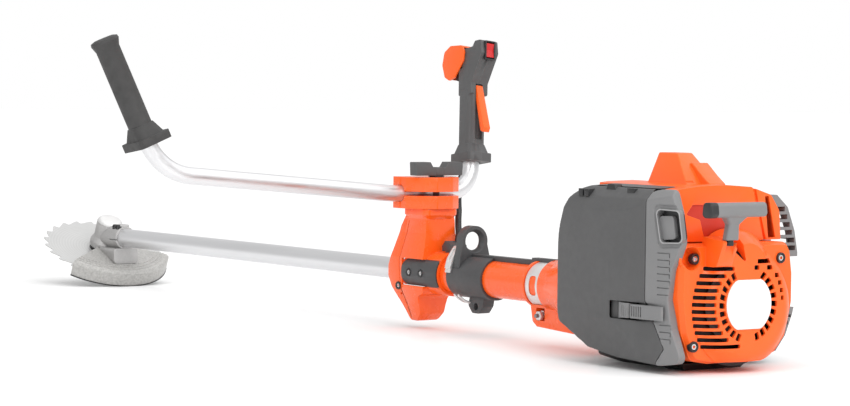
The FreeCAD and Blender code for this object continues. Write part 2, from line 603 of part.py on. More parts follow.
def suspension():
    """Sleeve on the rear tube, the harness eye that stands on it and the steel clip at its side."""
    low, high = SLEEVE
    sleeve = pipe((low, 0, 0), "x", SLEEVE_RADIUS, REAR_TUBE_RADIUS + GAP, high - low)
    lug = prism(((-240, -26), (-236, -42), (-246, -53), (-262, -53), (-272, -42), (-276, -26)), "y", -10,
                10, 5)
    lug = cut(lug, [rod((low, 0, 0), "x", SLEEVE_RADIUS - 0.5, high - low),
                    rod((-255, -20, -43), "y", 3.2, 40)])
    groove = box((low - 1, high + 1), (-CHANNEL_HALF - 1.2, CHANNEL_HALF + 1.2), (20, CHANNEL_TOP + 1.2))
    add("suspension_sleeve", sleeve.fuse(lug).cut(groove))
    base = prism(((29, 14), (27, 30), (EYE_RADIUS - 1, 50), (-EYE_RADIUS + 1, 50), (-27, 30), (-29, 14)),
                 "x", EYE_X - 10, EYE_X + 6, 3)
    eye = base.fuse(rod((EYE_X - 10, 0, EYE_Z), "x", EYE_RADIUS, 16))
    way = rod((EYE_X - 30, 0, 0), "x", SLEEVE_RADIUS + FIT, 60)
    eye = cut(eye, [way, groove, rod((EYE_X - 30, 0, EYE_Z), "x", EYE_HOLE, 60)])
    add("suspension_eye", eye)
    strap = pipe((EYE_X + 8, 0, 0), "x", SLEEVE_RADIUS + 2.6, SLEEVE_RADIUS + FIT, 12)
    ramp = prism(((8, 36), (8, 60), (60, 60), (60, -60), (10, -60), (10, -31)), "x", EYE_X, EYE_X + 30)
    add("suspension_clip", strap.common(ramp))


def tube_joint():
    """Band clamp with its screw, and the clutch cover that carries the rear tube."""
    neck = rod((-440, 0, 0), "x", 31, 44)
    lip = rod((-402, 0, 0), "x", 34, 6)
    cone = lathe(((-545, 0), (-545, 60), (-500, 52), (-452, 37), (-437, 37), (-437, 0)), (0, 0, 0),
                 (1, 0, 0))
    flange = rod((CLUTCH_FACE, 0, 0), "x", 62, 15)
    wing = prism(((-398, -26), (-404, -52), (-414, -59), (-500, -63), (-550, -66), (-550, -20),
                  (-440, -20)), "y", -18, 18, 3)
    body = fuse([neck, lip, cone, flange, wing])
    tube_way = rod((-441, 0, 0), "x", REAR_TUBE_RADIUS + FIT, 60)
    drum_room = lathe(((-561, 0), (-561, 55), (-546, 55), (-502, 47), (-455, 32), (-442, 24), (-442, 0)),
                      (0, 0, 0),
                      (1, 0, 0))
    shaft_way = rod((-460, 0, 0), "x", 12, 30)
    screw_room = box((-432, -412), (-30, 30), (-50, -32))
    band_room = pipe((-436, 0, 0), "x", 33, 31, 33)
    wing_room = prism(((-452, -40), (-452, -56), (-500, -59), (-540, -61), (-540, -40)), "y", -14, 14, 2)
    add("clutch_cover", cut(body, [tube_way, drum_room, shaft_way, screw_room, band_room, wing_room]))
    band = pipe((-435.5, 0, 0), "x", 32.6, 31 + FIT, 32)
    window = prism(((-427, 14), (-412, 14), (-412, -14), (-427, -14)), "y", 20, 60, 5)
    slit = box((-450, -390), (-4, 18), (-60, -20))
    add("tube_clamp", cut(band, [window, slit]))
    nut = prism([(6 * math.cos(math.radians(a)) - 422,
                  6 * math.sin(math.radians(a)) - 41) for a in range(0, 360, 60)],
                "y", 9, 15)
    add("clamp_screw", fuse([rod((-422, -14, -41), "y", 3, 37), nut, rod((-422, -19, -41), "y", 5, 5)]))


def crank_group():
    """Crankcase, crankshaft, clutch hub, flywheel, cylinder, piston and spark plug."""
    case = fuse([
        rod((-742, 0, 0), "x", 46, 180),
        rod((CLUTCH_FACE - 10, 0, 0), "x", 62, 9.9),
        box((-735, -620), (-40, 40), (-49.5, 0)),
        box((ENGINE_X - 34, ENGINE_X + 34), (-33, 33), (0, CYLINDER_BOTTOM)),
    ])
    chamber = rod((ENGINE_X - 19, 0, 0), "x", 34, 38)
    shaft_way = rod((-800, 0, 0), "x", CRANKSHAFT_RADIUS + FIT, 260)
    barrel_way = rod((ENGINE_X, 0, 10), "z", 25, 60)
    front_room = rod((-648, 0, 0), "x", 42, 92)
    rear_room = rod((-750, 0, 0), "x", 38, 24)
    add("crankcase", cut(case, [chamber, shaft_way, barrel_way, front_room, rear_room]))
    web_low = rod((ENGINE_X - 16, 0, 0), "x", 30, 8)
    web_high = rod((ENGINE_X + 8, 0, 0), "x", 30, 8)
    crank_pin = rod((ENGINE_X - 9, 0, -CRANK_RADIUS), "x", 6, 18)
    journals = [rod((-806, 0, 0), "x", CRANKSHAFT_RADIUS, ENGINE_X - 15 + 806),
                rod((ENGINE_X + 15, 0, 0), "x", CRANKSHAFT_RADIUS, 152)]
    add("crankshaft", fuse([web_low, web_high, crank_pin] + journals))
    hub = rod((-545, 0, 0), "x", 12, 24)
    for turn in (0, 120, 240):
        shoe = prism([(33 * math.cos(math.radians(a + turn)),
                       33 * math.sin(math.radians(a + turn))) for a in range(-50, 51, 10)]
                     + [(20 * math.cos(math.radians(a + turn)),
                         20 * math.sin(math.radians(a + turn))) for a in range(50, -51, -20)],
                     "x", -543, -523)
        hub = hub.fuse(shoe)
        hub = hub.fuse(placed(box((-538, -528), (10, 24), (-4, 4)),
                              FreeCAD.Placement(V(0, 0, 0), FreeCAD.Rotation(V(1, 0, 0), turn))))
    add("clutch_hub", hub.cut(rod((-550, 0, 0), "x", CRANKSHAFT_RADIUS + FIT, 40)))
    wheel = rod((-766, 0, 0), "x", 56, 14)
    blades = []
    for i in range(16):
        turn = FreeCAD.Placement(V(0, 0, 0), FreeCAD.Rotation(V(1, 0, 0), i * 360 / 16))
        blades.append(placed(box((-782, -765), (30, 56), (-1.5, 1.5)), turn))
    add("flywheel", fuse([wheel] + blades).cut(rod((-800, 0, 0), "x", CRANKSHAFT_RADIUS + FIT, 60)))
    barrel = rod((ENGINE_X, 0, CYLINDER_BOTTOM), "z", 27, 72)
    fins = [prism(rectangle((ENGINE_X, 0), 43, 41), "z", z, z + 2.6, 14) for z in range(62, 121, 7)]
    ports = [box((ENGINE_X - 16, ENGINE_X + 16), (-50, 0), (62, 92)),
             box((ENGINE_X - 15, ENGINE_X + 15), (0, 48), (56, 86))]
    head = fuse([barrel] + fins + ports + [rod((ENGINE_X, 0, 118), "z", 11, 8)])
    bore = rod((ENGINE_X, 0, 0), "z", PISTON_RADIUS + FIT, COMBUSTION_TOP)
    skirt = pipe((ENGINE_X, 0, PISTON_BOTTOM - 1), "z", 24.8, PISTON_RADIUS + FIT,
                 CYLINDER_BOTTOM - PISTON_BOTTOM + 2)
    skirt = skirt.cut(rod((ENGINE_X - 19, 0, 0), "x", 34.2, 38))
    ways = [rod((ENGINE_X, -60, 77), "y", 9, 50), rod((ENGINE_X, 10, 71), "y", 9, 50),
            rod((ENGINE_X, 0, 90), "z", 6 + FIT, 60)]
    add("cylinder", cut(head.fuse(skirt), [bore] + ways))
    piston = rod((ENGINE_X, 0, PISTON_BOTTOM), "z", PISTON_RADIUS, PISTON_HEIGHT)
    piston = cut(piston, [rod((ENGINE_X, 0, PISTON_BOTTOM - 1), "z", 18, 23),
                          rod((ENGINE_X - 30, 0, PISTON_BOTTOM + 13), "x", 5, 60)])
    add("piston", piston)
    plug = lathe(((COMBUSTION_TOP + 0.5, 0), (COMBUSTION_TOP + 0.5, 6), (126.2, 6), (126.2, 10), (134, 10),
                  (134, 8), (150, 8),
                  (152, 12), (166, 12), (172, 7), (172, 0)), (ENGINE_X, 0, 0), (0, 0, 1))
    add("spark_plug", plug)


def starter():
    """Starter cover with its dome and air slots, the rope reel and the pull handle."""
    body = prism(STARTER_OUTLINE, "x", STARTER_BACK, STARTER_FRONT, 12)
    shoulder = taper(scaled(STARTER_OUTLINE, 0.955), STARTER_OUTLINE, "x", STARTER_BACK - 8, STARTER_BACK,
                     12)
    y, z = DOME_CENTRE
    dome = lathe(((DOME_BACK, 0), (DOME_BACK, 64), (DOME_BACK + 8, 72), (STARTER_BACK - 4, 77),
                  (STARTER_BACK - 4, 0)), (0, y, z), (1, 0, 0))
    dock = prism(((STARTER_BACK, 88), (-858, 88), (-858, 84), (-840, 54), (STARTER_BACK, 54)), "y", 30, 56)
    shell = fuse([body, shoulder, dome, dock])
    room = fuse([
        prism(inset(STARTER_OUTLINE, WALL), "x", STARTER_BACK - 3, STARTER_FRONT + 5, 10),
        lathe(((DOME_BACK + WALL, 0), (DOME_BACK + WALL, 63), (DOME_BACK + 10, 69), (STARTER_BACK, 73),
               (STARTER_BACK, 0)), (0, y, z), (1, 0, 0)),
    ])
    slots = []
    for i in range(12):
        level = 52 - i * 9.8
        inner = math.sqrt(max(0.0, 52 ** 2 - level ** 2)) + 2
        outer = math.sqrt(74 ** 2 - level ** 2)
        slots.append(prism(((inner, level), (outer, level), (outer, level - 5.2), (inner, level - 5.2)),
                           "x", -850, -800, 1.5))
    for i in range(26):
        angle = math.radians(90 + (i + 0.5) * 360 / 26)
        if abs(math.sin(angle)) < 0.97 or math.sin(angle) < 0:
            hole = prism(rectangle((45.5, 0), 3.2, 3.4), "x", -850, -800, 1)
            turn = FreeCAD.Rotation(V(1, 0, 0), math.degrees(angle))
            slots.append(placed(hole, FreeCAD.Placement(V(0, 0, 0), turn)))
    dock_way = rod((-850, 43, 70), "z", 2.5, 30)
    add("starter_cover", cut(shell, [room, dock_way, Part.makeCompound(slots)]))
    reel = lathe(((-812, 0), (-812, 48), (-810, 48), (-810, ROPE_RADIUS), (-801, ROPE_RADIUS), (-801, 48),
                  (-799, 48), (-799, 0)),
                 (0, 0, 0), (1, 0, 0))
    reel = reel.cut(rod((-820, 0, 0), "x", CRANKSHAFT_RADIUS + 1, 30))
    post = pipe((DOME_BACK + WALL, 0, 0), "x", 7, 3, 24)
    reel = reel.cut(rod((-840, 0, 0), "x", 7 + FIT, 40))
    pieces["starter_cover"] = pieces["starter_cover"].fuse(post)
    add("starter_reel", reel)
    bar = prism(((-851, 122), (-853, 138), (-868, 138.5), (-870, 122), (-866, 118), (-855, 118)), "y", -4,
                91, 5)
    stem = taper(rectangle((-851, 43), 6.5, 9), rectangle((-861, 43), 6.5, 11), "z", 88.4, 120, 3)
    add("starter_handle", bar.fuse(stem))


def hood():
    """Cylinder cover with the tall hump over the spark plug."""
    plan = ((-792, -110), (-600, -100), (-600, 57.5), (-765, 57.5), (-769, 100), (-792, 100))
    body = prism(HOOD_OUTLINE, "x", -792, -600, 9).common(prism(plan, "z", 60, 240))
    inner_plan = ((-789, -110), (-603, -100), (-603, 54.5), (-768, 54.5), (-772, 100), (-789, 100))
    inner_outline = [(88, 70), (88, 147), (42, 153), (-1, 154), (-45, 151), (-79, 140.5), (-93, 121),
                     (-96, 70)]
    room = prism(inner_outline, "x", -800, -590, 7).common(prism(inner_plan, "z", 60, 240))
    hump_foot = ((HUMP_FRONT, 31), (HUMP_REAR, 31), (HUMP_REAR, -31), (HUMP_FRONT, -31))
    hump_head = ((HUMP_FRONT - 6, 14), (HUMP_FRONT - 49, 14), (HUMP_FRONT - 49, -14), (HUMP_FRONT - 6, -14))
    hump = taper(hump_foot, hump_head, "z", 150, HUMP_TOP, 5)
    hump_room = taper(inset(hump_foot, WALL + 1), inset(hump_head, WALL + 1), "z", 149, HUMP_TOP - WALL, 3)
    slots = [prism(rectangle((y, 114), 2.2, 18), "x", -800, -785, 1.5) for y in (-70, -86)]
    slots.append(box((ENGINE_X - 19, ENGINE_X + 19), (50, 60), (80, 92)))
    side_slots = [box((x, x + 6), (-110, -90), (92, 118)) for x in range(-770, -610, 12)]
    add("cylinder_cover", cut(body.fuse(hump), [room, hump_room] + slots + side_slots))


def air_intake():
    """Filter cover, its housing with the start window, the latch, the filter and the carburettor."""
    side = ((-618, 148), (-602, 134), (-590, 100), (-579, 50), (COVER_FRONT, 15), (-590, -32), (-648, -63),
            (-706, -72), (-790, -76), (-827, -70), (-808, -27), (-802, 11), (-808, 50), (-824, 84),
            (-818, 121), (-806, 152), (-760, 155), (-640, 155))
    plan = ((COVER_FRONT, 62), (COVER_FRONT, 108), (-584, COVER_FACE), (-706, COVER_FACE + 2), (-763, 113),
            (-800, 107), (-834, 101), (-834, 98.8), (COVER_SEAM + 0.3, 98.8), (COVER_SEAM + 0.3, 62))
    body = prism(side, "y", 60, 130, 8).common(prism(plan, "z", -100, 160, 3))
    room_side = ((-618, 143), (-606, 132), (-594, 99), (-583, 50), (-580, 15), (-594, -29), (-650, -59),
                 (-706, -68), (-770, -71), (-770, 150), (-640, 150))
    room_plan = ((-580, 50), (-580, 106), (-587, 113), (-706, 115), (-765, 109), (-765, 50))
    room = prism(room_side, "y", 40, 130, 6).common(prism(room_plan, "z", -100, 160, 3))
    seam = ((-400, 200), (COVER_SEAM, 200), (COVER_SEAM, 8), (-788, -50), (-780, -120), (-400, -120))
    front = prism(seam, "y", 40, 140)
    pocket = box((-806, -712), (107, 130), (-20.5, 4.5))
    latch_well = box((-806, COVER_SEAM + 1), (100.5, 130), (-21.5, 5.5))
    window = prism(rectangle((-812, 108), 12, 17), "y", 90, 130, 4)
    window_floor = box((-834, -790), (90, 100.3), (80, 136))
    ribs = [box((-803, -785), (104.6, 106), (z, z + 1.6)) for z in range(12, 76, 9)]
    cover = cut(body.common(front), [room, pocket])
    add("filter_cover", cover)
    panel = cut(body.cut(front), [latch_well, window.cut(window_floor)])
    panel = fuse([panel] + ribs)
    behind = side[:8] + ((-752, -75), (-752, 153), (-640, 154))
    plate = prism(inset(behind, 6), "y", 58.5, 61.5, 6)
    link = box((COVER_SEAM - 0.3, COVER_SEAM + 6), (58.5, 107), (12, 80))
    link = link.fuse(box((COVER_SEAM + 6, COVER_SEAM + 20), (58.5, 61.5), (12, 80)))
    housing = fuse([panel, plate, link]).cut(rod((ENGINE_X, 50, 71), "y", 12, 30))
    add("filter_housing", housing)
    latch = prism(((-803, 109), (-804, 113), (-760, 119.5), (-722, 121), (-718, 112), (-722, 109.5),
                   (-762, 111)), "z", -18.5, 2.5, 1.2)
    knuckle = rod((-717.5, 112.5, -19), "z", 3.4, 22)
    add("cover_latch", latch.fuse(knuckle))
    carb_body = fuse([box((ENGINE_X - 17, ENGINE_X + 17), (48.2, 58.3), (54, 90)),
                      rod((ENGINE_X, 50, 71), "y", 11.5, 15)])
    add("carburettor", carb_body.cut(rod((ENGINE_X, 40, 71), "y", 8, 40)))
    element = prism(rectangle((-688, 62), 58, 46), "y", 66, 96, 10)
    add("air_filter", element.cut(prism(rectangle((-688, 62), 44, 32), "y", 60, 86, 8)))


def exhaust():
    """Muffler on the right of the cylinder and the slotted guard around it."""
    muffler = prism(rectangle((-100, 25), 32, 52), "x", -738, -640, 9)
    chamber = prism(rectangle((-100, 25), 30.5, 50.5), "x", -736.5, -641.5, 7.5)
    port = box((ENGINE_X - 15, ENGINE_X + 15), (-69, -50.2), (63, 76))
    passage = box((ENGINE_X - 12, ENGINE_X + 12), (-80, -50), (66, 73))
    add("muffler", muffler.cut(chamber).fuse(port).cut(passage))
    edge = ((-103, 124), (-118, 140), (-136, 132), (-154, 96), (-162, 46), (-161, 0), (-150, -38),
            (-126, -68), (-94, -80))
    inner = ((-60, 120), (-104, 120), (-119, 136), (-134, 129), (-151, 95), (-159, 46), (-158, 1),
             (-147, -36), (-124, -65), (-94, -77), (-60, -77))
    shell = prism(edge + ((-94, -60), (-103, -40)), "x", -757, -612)
    room = prism(inner, "x", -754, -615)
    slots = []
    for i in range(6):
        level = 68 + i * 11
        outer = 150 - max(0, level - 80) * 0.45
        slots.append(box((-765, -750), (-outer, -112), (level, level + 7)))
    for i in range(5):
        level = -24 - i * 10
        slots.append(box((-765, -750), (-146 + i * 7, -106), (level, level + 5)))
    for i in range(9):
        slots.append(box((-744, -628), (-170, -140), (-28 + i * 13, -21 + i * 13)))
    add("muffler_guard", cut(shell, [room] + slots))


def tank():
    """Fuel tank under the crankcase, with feet, and its screw cap."""
    side = ((-606, -50), (-600, -62), (-604, -80), (-640, FLOOR), (-700, FLOOR), (-706, -83), (-728, -83),
            (-734, FLOOR),
            (-771, FLOOR), (-776, -77), (-748, -76.5), (-747, -50))
    body = prism(side, "y", -62, 57, 1.5)
    body = body.common(prism(((57, -40), (57, -78), (46, FLOOR), (-50, FLOOR), (-62, -74), (-62, -40)),
                             "x", -800, -580, 2))
    room = box((-744, -612), (-57, 52), (-79, -53))
    mouth = rod((-620, -38, -66), "x", 9, 30)
    add("fuel_tank", cut(body, [room, mouth]))
    cap = lathe(((-599.4, 0), (-599.4, 13), (-597, 13.5), (-590, 13), (-588, 11), (-588, 0)),
                (0, -38, -66), (1, 0, 0))
    plug = rod((-608, -38, -66), "x", 8.9, 10)
    grip_bar = box((-589, -584), (-50, -26), (-68.5, -63.5))
    add("fuel_cap", fuse([cap, plug, grip_bar]))


def socket_screws():
    """The socket-head screws of the gear head, the vibration housing and the starter cover."""
    screws = []
    for x in (COLLAR_REAR + 8, COLLAR_REAR + 21):
        screws.append(screw((x, 12.5, 18.8), (0, -1, 0), 20, 2))
    for y, z in ((70, 63), (-74, 61), (75, -50), (-52, -54)):
        screws.append(screw((STARTER_BACK - 12, y, z), (1, 0, 0), 30))
    for x in (-114, -145):
        screws.append(screw((x, 34, 0), (0, -1, 0), 10, 1.9))
    screws.append(screw((-90, 35, -34), (0, -1, 0), 20, 2.2))
    add("socket_screws", Part.makeCompound(screws))
    for name in ("gear_housing", "starter_cover", "av_housing", "av_cover", "side_plate"):
        pieces[name] = largest(pieces[name].cut(Part.makeCompound(screws)))


def build():
    """Make every piece in the shaft frame."""
    saw_blade()
    blade_fixing()
    gears()
    gear_housing()
    blade_guard()
    drive_line()
    vibration_housing()
    clamp()
    handlebar()
    throttle_handle()
    cables()
    suspension()
    tube_joint()
    crank_group()
    starter()
    hood()
    air_intake()
    exhaust()
    tank()
    socket_screws()


def whole_box():
    """Box of every piece together."""
    whole = FreeCAD.BoundBox()
    for shape in pieces.values():
        whole.add(shape.optimalBoundingBox(True, False))
    return whole


build()
limits = whole_box()
SHIFT = V(-(limits.XMin + limits.XMax) / 2, -(limits.YMin + limits.YMax) / 2, -limits.ZMin)
os.makedirs("parts", exist_ok=True)
for piece_name, piece_shape in pieces.items():
    finished = placed(piece_shape, FreeCAD.Placement(SHIFT, FreeCAD.Rotation()))
    finished.exportStep(f"parts/{piece_name}.step")
print("pieces", len(pieces), "shift", [round(value, 3) for value in SHIFT])
print("size", round(limits.XLength, 1), round(limits.YLength, 1), round(limits.ZLength, 1))
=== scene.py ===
import bpy
import bmesh
import json
import math
from mathutils import Matrix, Vector


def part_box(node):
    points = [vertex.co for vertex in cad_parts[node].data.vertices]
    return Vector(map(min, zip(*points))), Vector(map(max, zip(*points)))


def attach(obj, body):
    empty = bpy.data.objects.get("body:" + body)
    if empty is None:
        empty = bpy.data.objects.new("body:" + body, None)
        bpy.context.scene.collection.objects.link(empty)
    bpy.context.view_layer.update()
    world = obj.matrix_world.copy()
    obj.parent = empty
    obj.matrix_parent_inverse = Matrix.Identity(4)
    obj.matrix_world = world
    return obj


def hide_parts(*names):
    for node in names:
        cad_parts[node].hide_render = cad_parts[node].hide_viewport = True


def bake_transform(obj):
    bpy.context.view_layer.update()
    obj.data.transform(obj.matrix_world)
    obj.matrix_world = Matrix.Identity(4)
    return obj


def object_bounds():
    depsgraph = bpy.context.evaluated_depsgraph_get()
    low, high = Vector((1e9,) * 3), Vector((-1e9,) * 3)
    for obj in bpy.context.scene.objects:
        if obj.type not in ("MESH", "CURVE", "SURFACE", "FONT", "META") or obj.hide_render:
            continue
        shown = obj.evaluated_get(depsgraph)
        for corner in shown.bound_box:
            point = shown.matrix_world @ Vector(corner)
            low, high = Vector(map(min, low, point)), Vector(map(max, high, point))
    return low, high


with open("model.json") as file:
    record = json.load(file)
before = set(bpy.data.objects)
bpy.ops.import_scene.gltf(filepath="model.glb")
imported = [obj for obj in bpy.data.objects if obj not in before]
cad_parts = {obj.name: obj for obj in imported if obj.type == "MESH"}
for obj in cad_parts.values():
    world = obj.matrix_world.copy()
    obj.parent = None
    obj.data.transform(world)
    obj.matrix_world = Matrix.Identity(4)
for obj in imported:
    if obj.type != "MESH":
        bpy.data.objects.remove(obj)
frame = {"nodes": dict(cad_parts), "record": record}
cad_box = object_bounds()

# Every outline below is in millimetres in the shaft frame: X forward along the drive tube's axis,
# Y to the left, Z up, with the axis at Y = Z = 0. ROW turns that frame into the row frame in metres.
TUBE_FRONT = 882.0
tube_low, tube_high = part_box("drive_tube")
ORIGIN = Vector((tube_high[0] - TUBE_FRONT / 1000, (tube_low[1] + tube_high[1]) / 2,
                 (tube_low[2] + tube_high[2]) / 2))
ROW = Matrix.Translation(ORIGIN) @ Matrix.Scale(0.001, 4)
SHAFT = ROW.inverted()

HEAD_ANGLE = math.radians(24)
BLADE_CENTRE = Vector((928, 0, -25))
HEAD = Matrix.Translation(BLADE_CENTRE) @ Matrix.Rotation(-HEAD_ANGLE, 4, "Y")


def grip_frame(corner, lean, distance):
    """Frame of a grip: Z along the grip, X forward and Y to the left."""
    up = Vector(lean).normalized()
    forward = (Vector((1, 0, 0)) - up * up.x).normalized()
    axes = Matrix((forward, up.cross(forward), up)).transposed().to_4x4()
    return Matrix.Translation(Vector(corner) + up * distance) @ axes


RIGHT_GRIP = grip_frame((-106, -86, 120), (0.138, -0.110, 0.984), 46)
NODES = frame["nodes"]
BODY_OF = {node: body for body, nodes in frame["record"]["behaviour"]["bodies"].items() for node in nodes}
SLOT_OF = {part["node"]: part["material_slot"] for part in frame["record"]["subparts"]}


# ---------------------------------------------------------------- mesh helpers

def new_object(name, verts, faces):
    """Mesh object in the shaft frame, in millimetres, with its normals outwards."""
    mesh = bpy.data.meshes.new(name)
    mesh.from_pydata([tuple(v) for v in verts], [], faces)
    shell = bmesh.new()
    shell.from_mesh(mesh)
    bmesh.ops.remove_doubles(shell, verts=shell.verts, dist=1e-4)
    bmesh.ops.recalc_face_normals(shell, faces=shell.faces)
    shell.to_mesh(mesh)
    shell.free()
    obj = bpy.data.objects.new(name, mesh)
    bpy.context.scene.collection.objects.link(obj)
    return obj


def rounded(points, radius, steps=4):
    """Closed outline with its corners rounded; radius may be one number or one for each corner."""
    count = len(points)
    result = []
    for i, corner in enumerate(points):
        size = radius[i] if isinstance(radius, (list, tuple)) else radius
        corner = Vector(corner)
        back = Vector(points[i - 1]) - corner
        ahead = Vector(points[(i + 1) % count]) - corner
        room = 0.49 * min(back.length, ahead.length)
        back.normalize()
        ahead.normalize()
        half = back.angle(ahead) / 2
        if size <= 0 or half > math.radians(88):
            result.append(corner)
            continue
        size = min(size, room * math.tan(half))
        centre = corner + (back + ahead).normalized() * (size / math.sin(half))
        start = corner + back * (size / math.tan(half)) - centre
        end = corner + ahead * (size / math.tan(half)) - centre
        for step in range(steps + 1):
            t = step / steps
            spoke = start.lerp(end, t)
            result.append(centre + spoke.normalized() * size)
    return result


def shrunk(points, distance):
    """A convex outline moved inwards, or outwards by a negative distance."""
    centre = sum((Vector(p) for p in points), Vector((0, 0))) / len(points)
    result = []
    for point in points:
        spoke = Vector(point) - centre
        result.append(tuple(centre + spoke * (1 - distance / spoke.length)))
    return result


def scaled(points, across, up=None):
    """An outline with its coordinates multiplied by one factor, or each by its own."""
    return [(a * across, b * (across if up is None else up)) for a, b in points]


def hexagon(radius):
    """Corners of a hexagon about the origin."""
    return [(radius * math.cos(math.radians(a)), radius * math.sin(math.radians(a)))
            for a in range(0, 360, 60)]


def lifted(axis, a, b, level):
    """Point at a level along an axis and at (a, b) across it."""
    return {"x": (level, a, b), "y": (a, level, b), "z": (a, b, level)}[axis]


def prism(name, points, axis, low, high, radius=0, steps=4, high_points=None, high_radius=None):
    """Solid between an outline at a low level and the same or another outline at a high level."""
    below = rounded(points, radius, steps)
    above = rounded(high_points or points, radius if high_radius is None else high_radius, steps)
    count = len(below)
    verts = [lifted(axis, p[0], p[1], low) for p in below] + [lifted(axis, p[0], p[1], high) for p in above]
    faces = [(i, (i + 1) % count, count + (i + 1) % count, count + i) for i in range(count)]
    faces += [tuple(range(count)), tuple(range(count, 2 * count))]
    return new_object(name, verts, faces)


def block(name, x, y, z):
    """Box between the low and high limits on each axis."""
    return prism(name, ((x[0], y[0]), (x[1], y[0]), (x[1], y[1]), (x[0], y[1])), "z", z[0], z[1])


def ring_faces(gaps, segments):
    """Four-sided faces between rings of points."""
    faces = []
    for low in range(0, gaps * segments, segments):
        high = low + segments
        for i in range(segments):
            j = (i + 1) % segments
            faces.append((low + i, low + j, high + j, high + i))
    return faces


def turned(name, profile, place, segments=48):
    """Solid of revolution about a placement's Z axis from (along, radius) points. A closed profile
    makes a ring."""
    verts = []
    for along, radius in profile:
        for i in range(segments):
            angle = 2 * math.pi * i / segments
            verts.append(place @ Vector((radius * math.cos(angle), radius * math.sin(angle), along)))
    faces = ring_faces(len(profile) - 1, segments)
    for ring in (0, len(profile) - 1):
        if profile[ring][1] > 0 and profile[0] != profile[-1]:
            faces.append(tuple(ring * segments + i for i in range(segments)))
    return new_object(name, verts, faces)


def along(start, direction):
    """Placement whose Z axis points in a direction from a start point."""
    turn = Vector((0, 0, 1)).rotation_difference(Vector(direction).normalized())
    return Matrix.Translation(Vector(start)) @ turn.to_matrix().to_4x4()


def rod(name, start, direction, radius, length, segments=32):
    """Cylinder from a start point along a direction."""
    return turned(name, ((0, radius), (length, radius)), along(start, direction), segments)


def moved(obj, place):
    """Transform an object's points."""
    obj.data.transform(place)
    return obj


def copy_of(node):
    """A CAD node's shape as a new object in the shaft frame."""
    obj = bpy.data.objects.new(node + "_shell", NODES[node].data.copy())
    obj.data.transform(SHAFT)
    bpy.context.scene.collection.objects.link(obj)
    return obj


def settle(obj):
    """Apply the modifiers of an object."""
    graph = bpy.context.evaluated_depsgraph_get()
    mesh = bpy.data.meshes.new_from_object(obj.evaluated_get(graph))
    obj.modifiers.clear()
    obj.data = mesh
    return obj


def combine(obj, operation, tools):
    """Add tools to an object or take them away from it, and delete them."""
    for tool in tools:
        change = obj.modifiers.new("change", "BOOLEAN")
        change.operation = operation
        change.solver = "EXACT"
        change.object = tool
        settle(obj)
        bpy.data.objects.remove(tool)
    return obj


def carve(obj, *tools):
    """Take tools away from an object."""
    return combine(obj, "DIFFERENCE", tools)


def weld(obj, *tools):
    """Add tools to an object."""
    return combine(obj, "UNION", tools)


def overlap_of(obj, *tools):
    """Keep only what an object shares with each tool."""
    return combine(obj, "INTERSECT", tools)


def joined(objects):
    """Several objects that don't touch as one."""
    shell = bmesh.new()
    for obj in objects:
        shell.from_mesh(obj.data)
    for obj in objects[1:]:
        bpy.data.objects.remove(obj)
    shell.to_mesh(objects[0].data)
    shell.free()
    return objects[0]


def tidy_faces(obj, angle=0.6):
    """Merge doubled points and join flat neighbours into one face."""
    shell = bmesh.new()
    shell.from_mesh(obj.data)
    bmesh.ops.remove_doubles(shell, verts=shell.verts, dist=1e-3)
    bmesh.ops.dissolve_limit(shell, angle_limit=math.radians(angle), verts=shell.verts, edges=shell.edges)
    bmesh.ops.dissolve_degenerate(shell, edges=shell.edges, dist=1e-3)
    shell.to_mesh(obj.data)
    shell.free()
    return obj


def edged(obj, width=0.6, segments=2, angle=28):
    """Round the hard edges by a small width."""
    tidy_faces(obj)
    bevel = obj.modifiers.new("edge", "BEVEL")
    bevel.width = width
    bevel.segments = segments
    bevel.limit_method = "ANGLE"
    bevel.angle_limit = math.radians(angle)
    bevel.use_clamp_overlap = True
    bevel.harden_normals = False
    return settle(obj)


def moulded(obj, voxel=1.2, rounds=3, keep=0.35):
    """Melt an object into one soft casting: remesh it evenly, relax it and thin it out."""
    remesh = obj.modifiers.new("remesh", "REMESH")
    remesh.mode = "VOXEL"
    remesh.voxel_size = voxel
    remesh.adaptivity = 0
    relax = obj.modifiers.new("relax", "SMOOTH")
    relax.factor = 0.5
    relax.iterations = rounds
    if keep < 1:
        thin = obj.modifiers.new("thin", "DECIMATE")
        thin.ratio = keep
    return settle(obj)


def smooth_shading(obj, angle=35):
    """Shade smoothly, with sharp edges where faces meet at more than an angle."""
    shell = bmesh.new()
    shell.from_mesh(obj.data)
    for face in shell.faces:
        face.smooth = True
    for edge in shell.edges:
        edge.smooth = not (edge.is_manifold and edge.calc_face_angle(0) > math.radians(angle))
    shell.to_mesh(obj.data)
    shell.free()
    return obj


def show(obj, name, body, finish, slot, *nodes, angle=35):
    """Turn a finished object into a visible piece: move it into the row frame, paint it and let it ride on a
    body, or on none."""
    smooth_shading(obj, angle)
    obj.data.transform(ROW)
    obj.name = name
    obj.data.name = name
    obj.data.materials.clear()
    obj.data.materials.append(finish)
    if body:
        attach(obj, body)
    if nodes:
        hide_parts(*nodes)
    return obj


# ---------------------------------------------------------------- materials

COAT_ROUGHNESS = 0.12
BUMP_STRENGTH = 0.6
EDGE_HIGHLIGHT_COSINE = 0.86          # cosine between the softened and the true normal, where the painted edge highlight is full
EDGE_HIGHLIGHT_AMOUNT = 0.5
RING_TINT = 0.08


def noise(tree, mapping, scale, detail):
    """Noise texture on the mapped coordinates."""
    node = tree.nodes.new("ShaderNodeTexNoise")
    node.inputs["Scale"].default_value = scale
    node.inputs["Detail"].default_value = detail
    tree.links.new(mapping.outputs["Vector"], node.inputs["Vector"])
    return node


